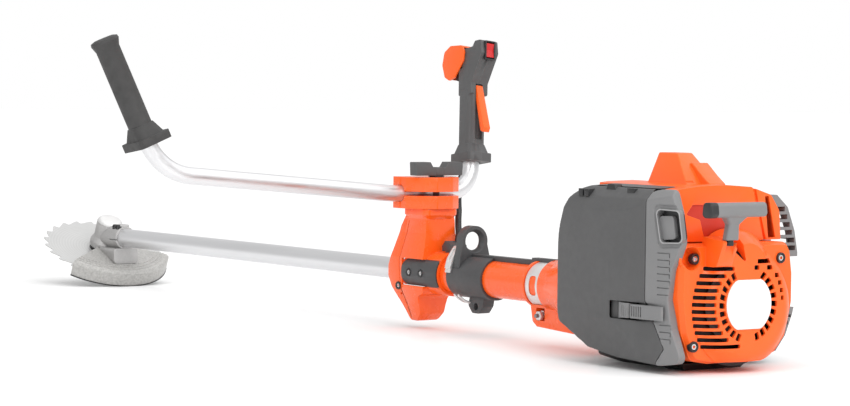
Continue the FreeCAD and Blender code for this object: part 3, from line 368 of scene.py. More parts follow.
def map_range(tree, source, before, after):
    """Carry a value from one range to another."""
    node = tree.nodes.new("ShaderNodeMapRange")
    for name, value in zip(("From Min", "From Max", "To Min", "To Max"), (*before, *after)):
        node.inputs[name].default_value = value
    tree.links.new(source, node.inputs["Value"])
    return node


def surface(name, colour, shade, roughness, grain, cloud=18, metallic=0.0, coat=0.0, stretch=(1, 1, 1),
            edge_highlight=None, edge=0.5, specular=0.5):
    """Procedural finish. colour and shade are mixed by a soft cloud, grain is (size per metre, depth),
    roughness is a range, edge_highlight is the paler colour painted on the edges as a painted highlight
    where they catch light, and edge is their softness in millimetres."""
    material = bpy.data.materials.new(name)
    material.use_nodes = True
    tree = material.node_tree
    nodes, links = tree.nodes, tree.links
    shader = nodes["Principled BSDF"]
    shader.inputs["Metallic"].default_value = metallic
    shader.inputs["Coat Weight"].default_value = coat
    shader.inputs["Coat Roughness"].default_value = COAT_ROUGHNESS
    shader.inputs["Specular IOR Level"].default_value = specular
    coords = nodes.new("ShaderNodeTexCoord")
    mapping = nodes.new("ShaderNodeMapping")
    mapping.inputs["Scale"].default_value = stretch
    links.new(coords.outputs["Object"], mapping.inputs["Vector"])

    clouds = noise(tree, mapping, cloud, 5)
    mix = nodes.new("ShaderNodeMix")
    mix.data_type = "RGBA"
    mix.inputs["A"].default_value = (*colour, 1)
    mix.inputs["B"].default_value = (*shade, 1)
    links.new(clouds.outputs["Fac"], mix.inputs["Factor"])

    scuffs = noise(tree, mapping, cloud * 5, 6)
    rough = map_range(tree, scuffs.outputs["Fac"], (0.3, 0.7), roughness)
    links.new(rough.outputs["Result"], shader.inputs["Roughness"])

    soft = nodes.new("ShaderNodeBevel")
    soft.samples = 4
    soft.inputs["Radius"].default_value = edge / 1000
    fine = noise(tree, mapping, grain[0], 3)
    bump = nodes.new("ShaderNodeBump")
    bump.inputs["Strength"].default_value = BUMP_STRENGTH
    bump.inputs["Distance"].default_value = grain[1] / 1000
    links.new(fine.outputs["Fac"], bump.inputs["Height"])
    links.new(soft.outputs["Normal"], bump.inputs["Normal"])
    links.new(bump.outputs["Normal"], shader.inputs["Normal"])

    # Painted highlight: a paler colour on the edges, where the softened normal leaves the true one, for the
    # light that edges catch.
    if edge_highlight:
        shape = nodes.new("ShaderNodeNewGeometry")
        turn = nodes.new("ShaderNodeVectorMath")
        turn.operation = "DOT_PRODUCT"
        links.new(soft.outputs["Normal"], turn.inputs[0])
        links.new(shape.outputs["Normal"], turn.inputs[1])
        edge_highlight_mask = map_range(tree, turn.outputs["Value"], (1.0, EDGE_HIGHLIGHT_COSINE), (0.0, EDGE_HIGHLIGHT_AMOUNT))
        blend = nodes.new("ShaderNodeMix")
        blend.data_type = "RGBA"
        blend.inputs["B"].default_value = (*edge_highlight, 1)
        links.new(edge_highlight_mask.outputs["Result"], blend.inputs["Factor"])
        links.new(mix.outputs["Result"], blend.inputs["A"])
        links.new(blend.outputs["Result"], shader.inputs["Base Color"])
    else:
        links.new(mix.outputs["Result"], shader.inputs["Base Color"])
    return material


def spun(name, place, colour, shade, roughness, rings, metallic):
    """Metal disc finish with faint concentric rings about a placement's Z axis."""
    material = surface(name, colour, shade, roughness, (700, 0.02), metallic=metallic, edge=0.3)
    nodes, links = material.node_tree.nodes, material.node_tree.links
    coords = nodes.new("ShaderNodeTexCoord")
    centred = nodes.new("ShaderNodeMapping")
    centred.vector_type = "TEXTURE"
    centred.inputs["Location"].default_value = ROW @ place @ Vector((0, 0, 0))
    centred.inputs["Rotation"].default_value = place.to_euler()
    wave = nodes.new("ShaderNodeTexWave")
    wave.wave_type = "RINGS"
    wave.rings_direction = "Z"
    wave.inputs["Scale"].default_value = rings
    wave.inputs["Distortion"].default_value = 0.6
    links.new(coords.outputs["Object"], centred.inputs["Vector"])
    links.new(centred.outputs["Vector"], wave.inputs["Vector"])
    shader = nodes["Principled BSDF"]
    old = shader.inputs["Base Color"].links[0].from_socket
    tint = nodes.new("ShaderNodeMix")
    tint.data_type = "RGBA"
    tint.blend_type = "MULTIPLY"
    tint.inputs["Factor"].default_value = RING_TINT
    links.new(old, tint.inputs["A"])
    links.new(wave.outputs["Color"], tint.inputs["B"])
    links.new(tint.outputs["Result"], shader.inputs["Base Color"])
    return material


# The edge_highlight colours below are painted highlights on each finish's edges.
ORANGE = surface("orange_moulded", (1.0, 0.132, 0.011), (0.94, 0.112, 0.008), (0.28, 0.40), (1500, 0.02),
                 coat=0.12, edge_highlight=(1.0, 0.26, 0.07), edge=0.7, specular=0.35)
ORANGE_PAINT = surface("orange_coated", (1.0, 0.125, 0.010), (0.94, 0.105, 0.007), (0.20, 0.30),
                       (420, 0.035), coat=0.3, edge_highlight=(1.0, 0.24, 0.06), edge=0.7, specular=0.4)
# Darker copy of the moulded orange: painted shade for the floor of a recess.
ORANGE_PAINTED_SHADE = surface("orange_recess_painted_shade", (0.62, 0.030, 0.004), (0.5, 0.02, 0.003), (0.3, 0.45), (1500, 0.02),
                      edge=0.4)
GREY = surface("grey_moulded", (0.088, 0.088, 0.089), (0.070, 0.070, 0.071), (0.42, 0.60), (1900, 0.09),
               edge_highlight=(0.22, 0.22, 0.22), edge=0.7)
GREY_LIGHT = surface("grey_satin", (0.205, 0.205, 0.207), (0.17, 0.17, 0.172), (0.38, 0.52), (1900, 0.06),
                     edge_highlight=(0.28, 0.28, 0.28), edge=0.6)
GREY_DARK = surface("grey_dark", (0.066, 0.066, 0.068), (0.050, 0.050, 0.052), (0.40, 0.56), (1900, 0.08),
                    edge_highlight=(0.14, 0.14, 0.14), edge=0.6)
GREY_PALE = surface("grey_rim", (0.36, 0.36, 0.36), (0.30, 0.30, 0.30), (0.3, 0.4), (1900, 0.04), edge=0.4)
BLACK = surface("black_moulded", (0.020, 0.020, 0.021), (0.012, 0.012, 0.013), (0.34, 0.5), (1700, 0.06),
                edge_highlight=(0.06, 0.06, 0.06), edge=0.5)
RUBBER = surface("black_grip_rubber", (0.052, 0.051, 0.050), (0.036, 0.035, 0.035), (0.55, 0.78),
                 (2600, 0.12), edge_highlight=(0.11, 0.11, 0.11), edge=0.8)
RED = surface("red_switch", (0.62, 0.012, 0.014), (0.50, 0.008, 0.010), (0.25, 0.4), (1500, 0.03), coat=0.2,
              edge_highlight=(0.8, 0.06, 0.05), edge=0.5)
TUBE = surface("anodised_tube", (0.80, 0.80, 0.81), (0.70, 0.70, 0.715), (0.30, 0.42), (420, 0.03), cloud=40,
               metallic=1.0, stretch=(0.08, 1, 1), edge=0.4)
BAR = surface("anodised_bar", (0.78, 0.78, 0.79), (0.68, 0.68, 0.69), (0.30, 0.44), (500, 0.03), cloud=36,
              metallic=1.0, stretch=(1, 0.1, 1), edge=0.4)
CAST = surface("cast_aluminium", (0.56, 0.55, 0.545), (0.42, 0.415, 0.41), (0.42, 0.62), (380, 0.16),
               cloud=60, metallic=0.85, edge_highlight=(0.85, 0.85, 0.85), edge=0.8)
CAST_LIGHT = surface("cast_cap", (0.80, 0.795, 0.79), (0.70, 0.695, 0.69), (0.40, 0.55), (420, 0.08),
                     cloud=60, metallic=0.7, edge_highlight=(0.95, 0.95, 0.95), edge=0.8)
MACHINED = surface("machined_aluminium", (0.78, 0.78, 0.78), (0.66, 0.66, 0.67), (0.25, 0.38), (700, 0.03),
                   cloud=50, metallic=1.0, edge_highlight=(0.95, 0.95, 0.95), edge=0.4)
STEEL = surface("bright_steel", (0.72, 0.72, 0.73), (0.60, 0.60, 0.61), (0.18, 0.32), (600, 0.03), cloud=70,
                metallic=1.0, edge_highlight=(0.95, 0.95, 0.95), edge=0.3)
DARK_STEEL = surface("dark_steel", (0.30, 0.30, 0.31), (0.22, 0.22, 0.23), (0.30, 0.46), (500, 0.05),
                     cloud=60, metallic=1.0, edge_highlight=(0.6, 0.6, 0.6), edge=0.3)
BLACK_STEEL = surface("blackened_steel", (0.030, 0.030, 0.031), (0.018, 0.018, 0.019), (0.28, 0.44),
                      (600, 0.05), cloud=60, metallic=0.6, edge_highlight=(0.2, 0.2, 0.2), edge=0.3)
GUARD = surface("guard_plastic", (0.60, 0.59, 0.57), (0.24, 0.235, 0.225), (0.30, 0.50), (260, 0.25),
                cloud=260, edge_highlight=(0.82, 0.81, 0.79), edge=0.8)
FELT = surface("filter_felt", (0.55, 0.50, 0.36), (0.42, 0.38, 0.27), (0.85, 0.95), (1400, 0.5), edge=0.5)
WHITE = surface("blank_badge", (0.86, 0.86, 0.85), (0.80, 0.80, 0.80), (0.22, 0.34), (900, 0.02), coat=0.3,
                edge_highlight=(0.95, 0.95, 0.95), edge=0.4)
BLADE = spun("blade_steel", HEAD, (0.60, 0.60, 0.595), (0.52, 0.52, 0.515), (0.30, 0.45), 60, 0.3)

SLOT_FINISH = {
    "orange_paint": ORANGE_PAINT, "orange_plastic": ORANGE, "dark_plastic": GREY, "black_rubber": RUBBER,
    "red_plastic": RED, "tube_aluminium": TUBE, "cast_aluminium": CAST, "machined_aluminium": MACHINED,
    "steel": DARK_STEEL, "bright_steel": STEEL, "black_steel": BLACK_STEEL, "guard_plastic": GUARD,
    "filter_felt": FELT,
}


# ---------------------------------------------------------------- the plain pieces, softened and painted

def soft_copy(node, name, finish, width=0.6, segments=2, angle=28):
    """A CAD node's own shape with its hard edges rounded; angle is where the shading turns sharp."""
    return show(edged(copy_of(node), width, segments), name, BODY_OF[node], finish, SLOT_OF[node], node,
                angle=angle)


def paint_cad():
    """Give every carried-over CAD node its finish."""
    own = {"saw_blade": BLADE, "fuel_tank": BLACK, "clamp_knob": GREY, "side_plate": BLACK,
           "cable_channel": BLACK, "suspension_sleeve": BLACK, "suspension_eye": BLACK,
           "throttle_cable": BLACK, "handlebar": BAR, "spark_plug": BLACK, "fuel_cap": BLACK}
    for node, obj in NODES.items():
        finish = own.get(node, SLOT_FINISH[SLOT_OF[node]])
        obj.data.materials.clear()
        obj.data.materials.append(finish)


# ---------------------------------------------------------------- engine

INTAKE_SIDE = ((-618, 148), (-602, 134), (-590, 100), (-579, 50), (-576, 15), (-590, -32), (-648, -63),
               (-706, -72), (-790, -76), (-827, -70), (-808, -27), (-802, 11), (-808, 50), (-824, 84),
               (-818, 121), (-806, 152), (-760, 155), (-640, 155))
INTAKE_PLAN = ((-576, 60), (-576, 106), (-586, 116.5), (-640, 118.6), (-699, 118.8), (-738, 115.6),
               (-763, 111.6), (-800, 105.8), (-834, 100), (-834, 60))
INTAKE_FRONT = ((60, -90), (101, -86), (111, -70), (118.5, -22), (119, 40), (117, 122), (110, 139),
                (97, 152), (60, 155))
SEAM = ((-500, 180), (-763, 180), (-763, 8), (-796, -54), (-783, -72), (-783, -130), (-500, -130))
PANEL = Matrix(((-0.9874, 0, -0.158, -763), (-0.158, 0, 0.9874, 111.6), (0, 1, 0, 0), (0, 0, 0, 1)))
LATCH_LOW, LATCH_HIGH = -19.5, 3.5
COVER_WALL = 3.4


def intake_body(name, depth):
    """The outer form of the filter cover and its housing, or their hollow at a depth."""
    side = prism(name, shrunk(INTAKE_SIDE, depth), "y", 58 if depth == 0 else 40, 130, 9, 5)
    plan = prism("plan", [(x, y - depth) for x, y in INTAKE_PLAN], "z", -120, 170,
                 (2, 8, 8, 2, 3, 3, 3, 4, 2, 2), 4)
    front = prism("front", [(y - depth, z) for y, z in INTAKE_FRONT], "x", -860, -550,
                  (1, 4, 10, 22, 1, 9, 5, 9, 1), 5)
    return overlap_of(side, plan, front)


def panel_prism(name, points, low, high, radius=0):
    """Solid on the slanted rear panel: points are (along the panel, Z), levels are out of its face."""
    return moved(prism(name, points, "z", low, high, radius), PANEL)


def filter_cover():
    """Moulded cover over the air filter, with the latch's pocket, its hinge block and the clips on top."""
    cover = overlap_of(intake_body("filter_cover_body", 0), prism("seam", SEAM, "y", 30, 150))
    carve(cover, intake_body("hollow", COVER_WALL))
    pocket = prism("pocket", ((-694, 122), (-702, 112.5), (-715, 108.6), (-830, 108.6), (-830, 130),
                              (-694, 130)), "z",
                   LATCH_LOW, LATCH_HIGH)
    carve(cover, pocket)
    floor = prism("pocket_floor", ((-696, 111.8), (-716, 107.9), (-762, 107.9), (-762, 106), (-692, 109)),
                  "z", LATCH_LOW - 1, LATCH_HIGH + 1)
    weld(cover, floor)
    moulded(cover, 1.35, 3, 0.4)
    show(cover, "filter_cover_shell", "intake_cover", GREY, "dark_plastic", "filter_cover")
    block_outline = ((-718.6, 108), (-718.6, 116), (-722, 117.4), (-735, 117.4), (-737, 115), (-737, 108))
    hinge = prism("hinge_block", block_outline, "z", LATCH_LOW + 2, LATCH_HIGH - 1.5, 1)
    ridges = [block("ridge", (x, x + 1.2), (116.9, 118.4), (-16, 1)) for x in (-733, -729, -725)]
    show(edged(weld(hinge, joined(ridges)), 0.3), "latch_hinge_block", "intake_cover", GREY_LIGHT,
         "dark_plastic")
    vents = [block("vent", (x, x + 9), (97, 113), (138, 148)) for x in (-634, -646)]
    vents.append(prism("loop", ((-690, 146), (-668, 146), (-672, 155.5), (-686, 155.5)), "y", 88, 101, 2))
    vents.append(block("pad", (-731, -716), (95, 104), (144, 151.5)))
    show(edged(joined(vents), 1.0), "cover_top_clips", "intake_cover", BLACK, "dark_plastic")


def filter_panel():
    """Rear panel of the filter housing with the start window, ribs and the latch's bed."""
    panel = intake_body("filter_panel_body", 0)
    carve(panel, prism("seam_cut", [(x - 0.9 if x > -780 else x - 0.6, z) for x, z in SEAM], "y", 30, 150))
    inside = prism("inside", ((-700, 0), (-700, 104), (-764, 100), (-790, 91), (-840, 91), (-840, 0)), "z",
                   -130, 170)
    carve(panel, inside)
    bed = prism("bed", ((-750, 108.8), (-801, 106.6), (-803, 130), (-750, 130)), "z", LATCH_LOW, LATCH_HIGH)
    carve(panel, bed)
    window = ((18, 128), (59, 127), (66, 84), (27, 82))
    carve(panel, panel_prism("trench", shrunk(window, -7), -2.2, 8, 8))
    moulded(panel, 1.1, 4, 0.5)
    weld(panel, panel_prism("frame", window, -6, 1.0, 7))
    carve(panel, panel_prism("cavity", shrunk(window, 2.6), -10, 6, 6))
    grooves = []
    for level in [71 - 9 * i for i in range(7)] + [-22, -31, -40]:
        start = 22 if level > 0 else 27
        end = 43 if level > 0 else 46
        grooves.append(panel_prism("groove", ((start, level), (end, level), (end, level - 6.4),
                                              (end - 1.3, level - 6.4), (end - 1.3, level - 1.3),
                                              (start, level - 1.3)), -1.4, 4))
    carve(panel, joined(grooves))
    show(panel, "filter_panel_shell", "frame", GREY_LIGHT, "dark_plastic")
    rim = panel_prism("rim", shrunk(window, 0.6), 0.4, 2.0, 6.5)
    carve(rim, panel_prism("rim_hole", shrunk(window, 2.6), -2, 4, 6))
    show(edged(rim, 0.4), "start_window_rim", "frame", GREY_PALE, "dark_plastic")
    plate = panel_prism("window_plate", ((21, 118), (45, 119), (50, 89), (28, 87)), -9.5, -2.6, 4)
    show(edged(plate, 0.8), "start_window_plate", "frame", GREY_LIGHT, "dark_plastic")
    # Painted shadow: a black sheet at the bottom of the window's cavity stands for the shade inside it.
    floor = panel_prism("window_floor", shrunk(window, 3.4), -10.8, -9.2, 6)
    show(floor, "start_window_shadow_floor", "frame", BLACK, "dark_plastic")
    back = prism("back", shrunk(INTAKE_SIDE, 5), "y", 58.6, 61.4, 6)
    carve(back, block("rear", (-860, -753), (0, 90), (-100, 200)),
          rod("throat", (-688, 50, 71), (0, 1, 0), 12, 30))
    bridge = prism("bridge", ((-740, 58.6), (-740, 61.4), (-764, 61.4), (-770, 90), (-770, 100), (-766, 100),
                              (-758, 58.6)),
                   "z", 12, 80)
    weld(back, bridge)
    show(edged(back, 0.5), "filter_backplate", "frame", GREY, "dark_plastic", "filter_housing")


def cover_latch():
    """Lever with finger grooves that holds the filter cover."""
    outline = ((-720.5, 109.3), (-720.5, 113), (-738.5, 114.2), (-742.5, 114.2), (-743.5, 118.4),
               (-766, 116.4), (-797, 111.6), (-800, 108.2), (-760, 109.3))
    lever = prism("lever", outline, "z", LATCH_LOW + 2.5, LATCH_HIGH - 2.2,
                  (0.5, 0.5, 0.5, 0.8, 1, 1, 2, 1, 0.5))
    grooves = [block("groove", (x, x + 1.7), (115.6, 121), (-14.5, -1)) for x in range(-763, -744, 4)]
    carve(lever, joined(grooves))
    edged(lever, 0.5)
    knuckle = rod("knuckle", (-717.5, 112.5, LATCH_LOW + 1), (0, 0, 1), 3.2, 21)
    show(weld(lever, knuckle), "cover_latch_lever", "latch", GREY_LIGHT, "dark_plastic", "cover_latch")


HOOD_OUTLINE = ((91, 83.5), (91, 148), (80, 152), (42, 156), (-1, 157), (-45, 154), (-81, 143), (-96, 122),
                (-99, 83.5))
HUMP_FRONT, HUMP_REAR, HUMP_TOP = -664, -754, 197


def cylinder_cover():
    """Hood over the cylinder with its pyramid hump, side vents and the scoop behind the pull handle."""
    plan = ((-792, -110), (-600, -100), (-600, 57.5), (-765, 57.5), (-769, 100), (-792, 100))
    hood = prism("hood", HOOD_OUTLINE, "x", -792, -600, (1, 3, 12, 4, 4, 14, 12, 14, 1))
    overlap_of(hood, prism("plan", plan, "z", 60, 240, 2))
    foot = ((HUMP_FRONT, 31), (HUMP_REAR, 31), (HUMP_REAR, -31), (HUMP_FRONT, -31))
    head = ((HUMP_FRONT - 8, 15), (HUMP_FRONT - 48, 15), (HUMP_FRONT - 48, -13), (HUMP_FRONT - 8, -13))
    hump = prism("hump", foot, "z", 150, HUMP_TOP, (5, 1.5, 5, 5), 4, high_points=head,
                 high_radius=(5, 1.5, 5, 5))
    edged(hump, 2.4, 3)
    ridge = prism("ridge",
                  ((HUMP_REAR + 22, 150), (HUMP_REAR + 34, 184), (HUMP_REAR + 24, 184), (HUMP_REAR + 4, 168),
                   (HUMP_REAR - 12, 157), (HUMP_REAR - 12, 150)), "y", -24, 4, 3)
    weld(hood, hump, edged(ridge, 2.0, 3))
    room = prism("room", ((88, 70), (88, 146), (42, 152), (-1, 153), (-45, 150), (-79, 139), (-93, 121),
                          (-96, 70)), "x",
                 -788.5, -603.5, 8)
    overlap_of(room,
               prism("room_plan", [(max(min(x, -603.5), -788.5), y - (3 if y > 0 else -3)) for x, y in plan],
                     "z", 60, 240))
    hump_room = prism("hump_room", shrunk(foot, 7), "z", 140, HUMP_TOP - 4, 3, high_points=shrunk(head, 6))
    carve(hood, room, hump_room)
    carve(hood, prism("step_groove", ((-44, 165), (-50, 165), (-75, 76), (-70.5, 76)), "x", -800, -788.6),
          prism("side_slot", ((-70, 141.6), (-77, 141.5), (-89.5, 86), (-76.6, 86)), "x", -800, -786, 1),
          prism("hump_notch", ((27, 180), (17, 180), (15, 158.5), (32, 158.5)), "x", -800, HUMP_REAR + 10),
          prism("finger_scoop", ((67, 119), (56, 132), (-14, 132), (-14, 80), (33, 80), (43, 112)), "x",
                -800, -789.4, 2),
          block("intake_way", (-707, -669), (50, 60), (80, 92)),
          joined([block("side_vent", (x, x + 6), (-112, -86), (92, 118)) for x in range(-770, -610, 12)]))
    edged(hood, 1.1, 3, 24)
    show(hood, "cylinder_cover_shell", "frame", ORANGE, "orange_plastic", "cylinder_cover", angle=24)
    # Painted shade: the scoop's floor takes the darker copy of the orange.
    bed = prism("scoop_floor", ((66, 118), (55, 131), (-13, 131), (-13, 84), (33, 84), (42, 112)), "x",
                -789.8, -788.4, 2)
    show(bed, "finger_scoop_floor", "frame", ORANGE_PAINTED_SHADE, "orange_plastic")


STARTER_OUTLINE = ((92, 82), (96, 46), (96, 10), (90, -34), (75, -69), (46, -74), (-32, -74), (-68, -66),
                   (-87, -44), (-99, 2), (-99, 42), (-93, 82))
STARTER_BACK = -812
DOME_CENTRE = (-6, -2)
DISH_CENTRE = (79, 64)
FAN_SLOTS, FAN_SLOT_TOP, FAN_SLOT_PITCH = 12, 50.5, 9.2
FAN_HOLES = 26
BADGE_RADIUS, BADGE_POINTS = 38.5, 48


def facing_back(level, y, z):
    """Placement on the starter cover whose Z axis points backwards."""
    return along((level, y, z), (-1, 0, 0))


def starter_cover():
    """Starter cover: a dome with cooling slots and a ring of holes, the rope's dock and the blank badge."""
    cover = prism("starter", STARTER_OUTLINE, "x", STARTER_BACK, -758, 14, 5)
    weld(cover,
         prism("shoulder", scaled(STARTER_OUTLINE, 0.955), "x", STARTER_BACK - 7, STARTER_BACK + 1, 13, 5,
               high_points=scaled(STARTER_OUTLINE, 0.995), high_radius=14))
    dome = turned("dome", ((-20, 84), (0, 84), (8, 82.5), (18, 75), (24, 66.5), (26, 60)),
                  facing_back(STARTER_BACK, *DOME_CENTRE), 96)
    overlap_of(dome, prism("dome_limit", scaled(STARTER_OUTLINE, 0.97), "x", -845, -770, 14, 5))
    fairing = turned("fairing", ((-20, 50), (4, 50), (12, 47), (26, 33)), facing_back(STARTER_BACK, -1, 50),
                     72)
    weld(cover, dome, fairing)
    dock = prism("dock",
                 ((STARTER_BACK, 92), (-846, 88), (-853, 88), (-853, 84), (-840, 54), (STARTER_BACK, 50)),
                 "y", 30, 56, 2)
    weld(cover, dock)
    hollow = prism("hollow", scaled(STARTER_OUTLINE, 0.965, 0.96), "x", STARTER_BACK - 3, -750, 11)
    dome_room = turned("dome_room", ((-25, 80), (0, 80), (8, 78.5), (16, 72), (20.5, 65), (22.4, 58)),
                       facing_back(STARTER_BACK, *DOME_CENTRE), 64)
    overlap_of(dome_room, prism("room_limit", scaled(STARTER_OUTLINE, 0.94), "x", -845, -770, 11))
    carve(cover, hollow, dome_room)
    slots = []
    for i in range(FAN_SLOTS):
        level = FAN_SLOT_TOP - i * FAN_SLOT_PITCH
        near = math.sqrt(max(0.0, 54 ** 2 - (level - 2) ** 2)) - 1
        far = math.sqrt(max(0.0, 83.5 ** 2 - (level + 2) ** 2)) - 5
        slots.append(prism("slot",
                           ((near, level + 2.7), (far, level + 2.7), (far, level - 2.7),
                            (near, level - 2.7)), "x", -850, -800, 1.6))
    for i in range(FAN_HOLES):
        around = math.radians(90 + (i + 0.5) * 360 / FAN_HOLES)
        if -0.95 < math.sin(around) < 0.93:
            hole = prism("ring_hole", ((39.8, -4.0), (39.8, 3.0), (50, 4.4), (50, -3.2)), "x", -850, -800, 1)
            slots.append(moved(hole, Matrix.Translation((0, -2, 3)) @ Matrix.Rotation(around, 4, "X")))
    for y, z, half in ((-30, 59, 13), (-16, 51, 4.4), (-39, 50.5, 5.4), (-52, 40, 4.4), (-57, 30, 3.6),
                       (-60, 20, 3), (-61.5, 10, 2.4)):
        slots.append(prism("small_slot",
                           ((y + half, z + 3), (y - half, z + 3), (y - half, z - 3), (y + half, z - 3)), "x",
                           -850, -800, 0.8))
    carve(cover, joined(slots))
    weld(cover, turned("dish_back", ((-14, 18), (3, 18)), facing_back(STARTER_BACK, *DISH_CENTRE), 40))
    carve(cover,
          turned("dish", ((-9, 9), (-7, 12), (8, 15.5), (14, 17)), facing_back(STARTER_BACK, *DISH_CENTRE),
                 40))
    carve(cover, prism("stem_bed", ((50, 60), (50, 120), (34, 120), (34, 66)), "x", -870, -846, 2))
    carve(cover, prism("wedge", ((36, 96), (33, 80), (2, 57), (12, 97)), "x", -870, -818, 2))
    edged(cover, 0.8, 2, 26)
    show(cover, "starter_cover_shell", "frame", ORANGE, "orange_plastic", "starter_cover", angle=26)
    ring = []
    for i in range(BADGE_POINTS):
        angle = 2 * math.pi * i / BADGE_POINTS
        level = 3.5 + BADGE_RADIUS * math.sin(angle)
        ring.append((-2.5 + BADGE_RADIUS * math.cos(angle), max(-28.8, min(35.6, level))))
    badge = prism("badge", ring, "x", -839.6, -837.5)
    show(edged(badge, 0.4), "blank_badge_plate", "frame", WHITE, "orange_plastic")
    screen = turned("screen", ((0, 78), (1, 78)), facing_back(-806, *DOME_CENTRE), 64)
    show(screen, "fan_screen", "frame", BLACK, "dark_plastic")


def socket_screw(name, head, direction, radius=4.4, finish=None, nodes=()):
    """Socket screw with its hexagon recess, in a dark raised seat."""
    place = along(head, direction)
    body = turned(name, ((-6, radius), (-0.7, radius), (0, radius - 0.7)), place, 32)
    carve(body, moved(prism("hex", hexagon(0.56 * radius), "z", -3, 1), place))
    show(body, name, "frame", finish or STEEL, "black_steel", *nodes)
    section = ((-6, 0.3), (0.5, 0.3), (1.1, 0.9), (1.1, 2.3), (0.3, 2.8), (-6, 2.8), (-6, 0.3))
    collar = turned(name + "_seat", [(level, radius + out) for level, out in section], place, 32)
    show(collar, name + "_seat", "frame", BLACK, "black_steel")


def starter_handle():
    """T-shaped pull handle with its end cap, and the bush that the rope comes out of."""
    outline = ((-851, 122), (-853, 137.5), (-868, 138), (-870, 123), (-866, 118.5), (-855, 118.5))
    bar = prism("bar", outline, "y", -4, 90.5, 6, 6)
    waist = ((-848, 51), (-860, 52), (-860, 34), (-848, 35))
    stem = prism("stem", ((-844.5, 52), (-857.5, 54), (-857.5, 32), (-844.5, 34)), "z", 88.6, 110, 3,
                 high_points=waist)
    neck = prism("neck", waist, "z", 109, 124, 3,
                 high_points=((-852, 66), (-868, 66), (-868, 20), (-852, 20)))
    weld(bar, stem, neck)
    moulded(bar, 0.9, 6, 0.45)
    show(bar, "pull_handle_grip", "pull_handle", GREY_LIGHT, "dark_plastic", "starter_handle")
    cap = prism("end_cap", [(x + (861 + x) * 0.05, z + (z - 128) * 0.05) for x, z in outline], "y", 78, 91.5,
                6, 6)
    show(edged(cap, 2.0, 3), "pull_handle_cap", "pull_handle", BLACK, "dark_plastic")
    bush = turned("rope_bush", ((0, 5.2), (6, 5.2), (8, 4)), along((-850, 43, 81.5), (0, 0, 1)), 24)
    show(edged(bush, 0.5), "rope_guide", "frame", BLACK, "dark_plastic")


def exhaust_side():
    """Slotted guard around the muffler: a rear grille above, another below, and a side grille."""
    edge = ((-92, 124), (-110, 141), (-124, 141), (-144, 124), (-157, 92), (-163, 62), (-161, 0),
            (-155, -22), (-143, -50), (-126, -70), (-94, -80))
    inner = [(y * 0.975 + 1.5, z * 0.975) for y, z in edge]
    shell = prism("guard", edge + ((-94, -60), (-103, -40), (-103, 60)), "x", -757, -612, 1)
    carve(shell, prism("guard_room", tuple(inner) + ((-60, -77), (-60, 120)), "x", -753.5, -615, 1))
    slots = []
    for i in range(6):
        level = 63 + i * 10.6
        outer = 158.5 - max(0, level - 70) * 0.43       # the guard narrows towards its top
        slots.append(block("slot", (-765, -745), (-outer, -114), (level + 2.2, level + 8.8)))
    for i in range(6):
        level = -22 - i * 8.6
        slots.append(block("slot", (-765, -745), (-153 + i * 5.4, -106), (level - 5, level)))
    slots += [block("side_slot", (-744, -628), (-175, -112), (z, z + 8)) for z in range(-24, 118, 12)]
    slots.append(block("gap", (-770, -735), (-170, -146), (-12, 57)))
    for slot in slots:
        carve(shell, slot)
    show(edged(shell, 0.8, 2, 30), "muffler_guard_shell", "frame", GREY_LIGHT, "dark_plastic",
         "muffler_guard")


def starter_screws():
    """Screws of the starter cover. The first, in the dish, stands for all the CAD node's screws."""
    for i, (y, z) in enumerate(((70, 63), (-74, 61), (75, -50), (-52, -54))):
        level = STARTER_BACK - 9 if i else STARTER_BACK - 3
        nodes = () if i else ("socket_screws",)
        socket_screw(f"starter_screw_{i + 1}", (level, y, z), (-1, 0, 0), nodes=nodes)


def engine():
    starter_screws()
    filter_cover()
    filter_panel()
    cover_latch()
    cylinder_cover()
    starter_cover()
    starter_handle()
    exhaust_side()
    soft_copy("fuel_tank", "fuel_tank_shell", BLACK, 1.0)


# ---------------------------------------------------------------- column, jaws and harness suspension

BAR_Z = 120
EYE_X, EYE_Z = -228, 53
STUD_X = -136
SIDE_PLATE_SCREWS = (-114, -145)


def jaws():
    """Cast jaws with a clear slit around the stud, and the wing knob on its black collar."""
    for node, low, high in (("lower_jaw", BAR_Z - 3.2, BAR_Z + 3), ("upper_jaw", BAR_Z - 3, BAR_Z + 3.2)):
        jaw = copy_of(node)
        carve(jaw, block("slit", (-170, -80), (-60, 60), (low, high)))
        for side in (-1, 1):
            relief = prism("relief",
                           ((-134, side * 45), (-121, side * 52), (-108, side * 52), (-108, side * 46.6),
                            (-120, side * 46.6)), "z", 90, 150)
            carve(jaw, relief)
        show(edged(jaw, 1.3, 3), node + "_shell", BODY_OF[node], ORANGE_PAINT, "orange_paint", node)
    show(edged(copy_of("clamp_knob"), 1.0), "clamp_knob_shell", "knob", GREY, "dark_plastic", "clamp_knob")
    collar = turned("knob_collar", ((145.4, 12), (147.2, 12)), along((STUD_X, 0, 0), (0, 0, 1)), 40)
    show(edged(collar, 0.4), "knob_collar", "knob", BLACK, "dark_plastic")


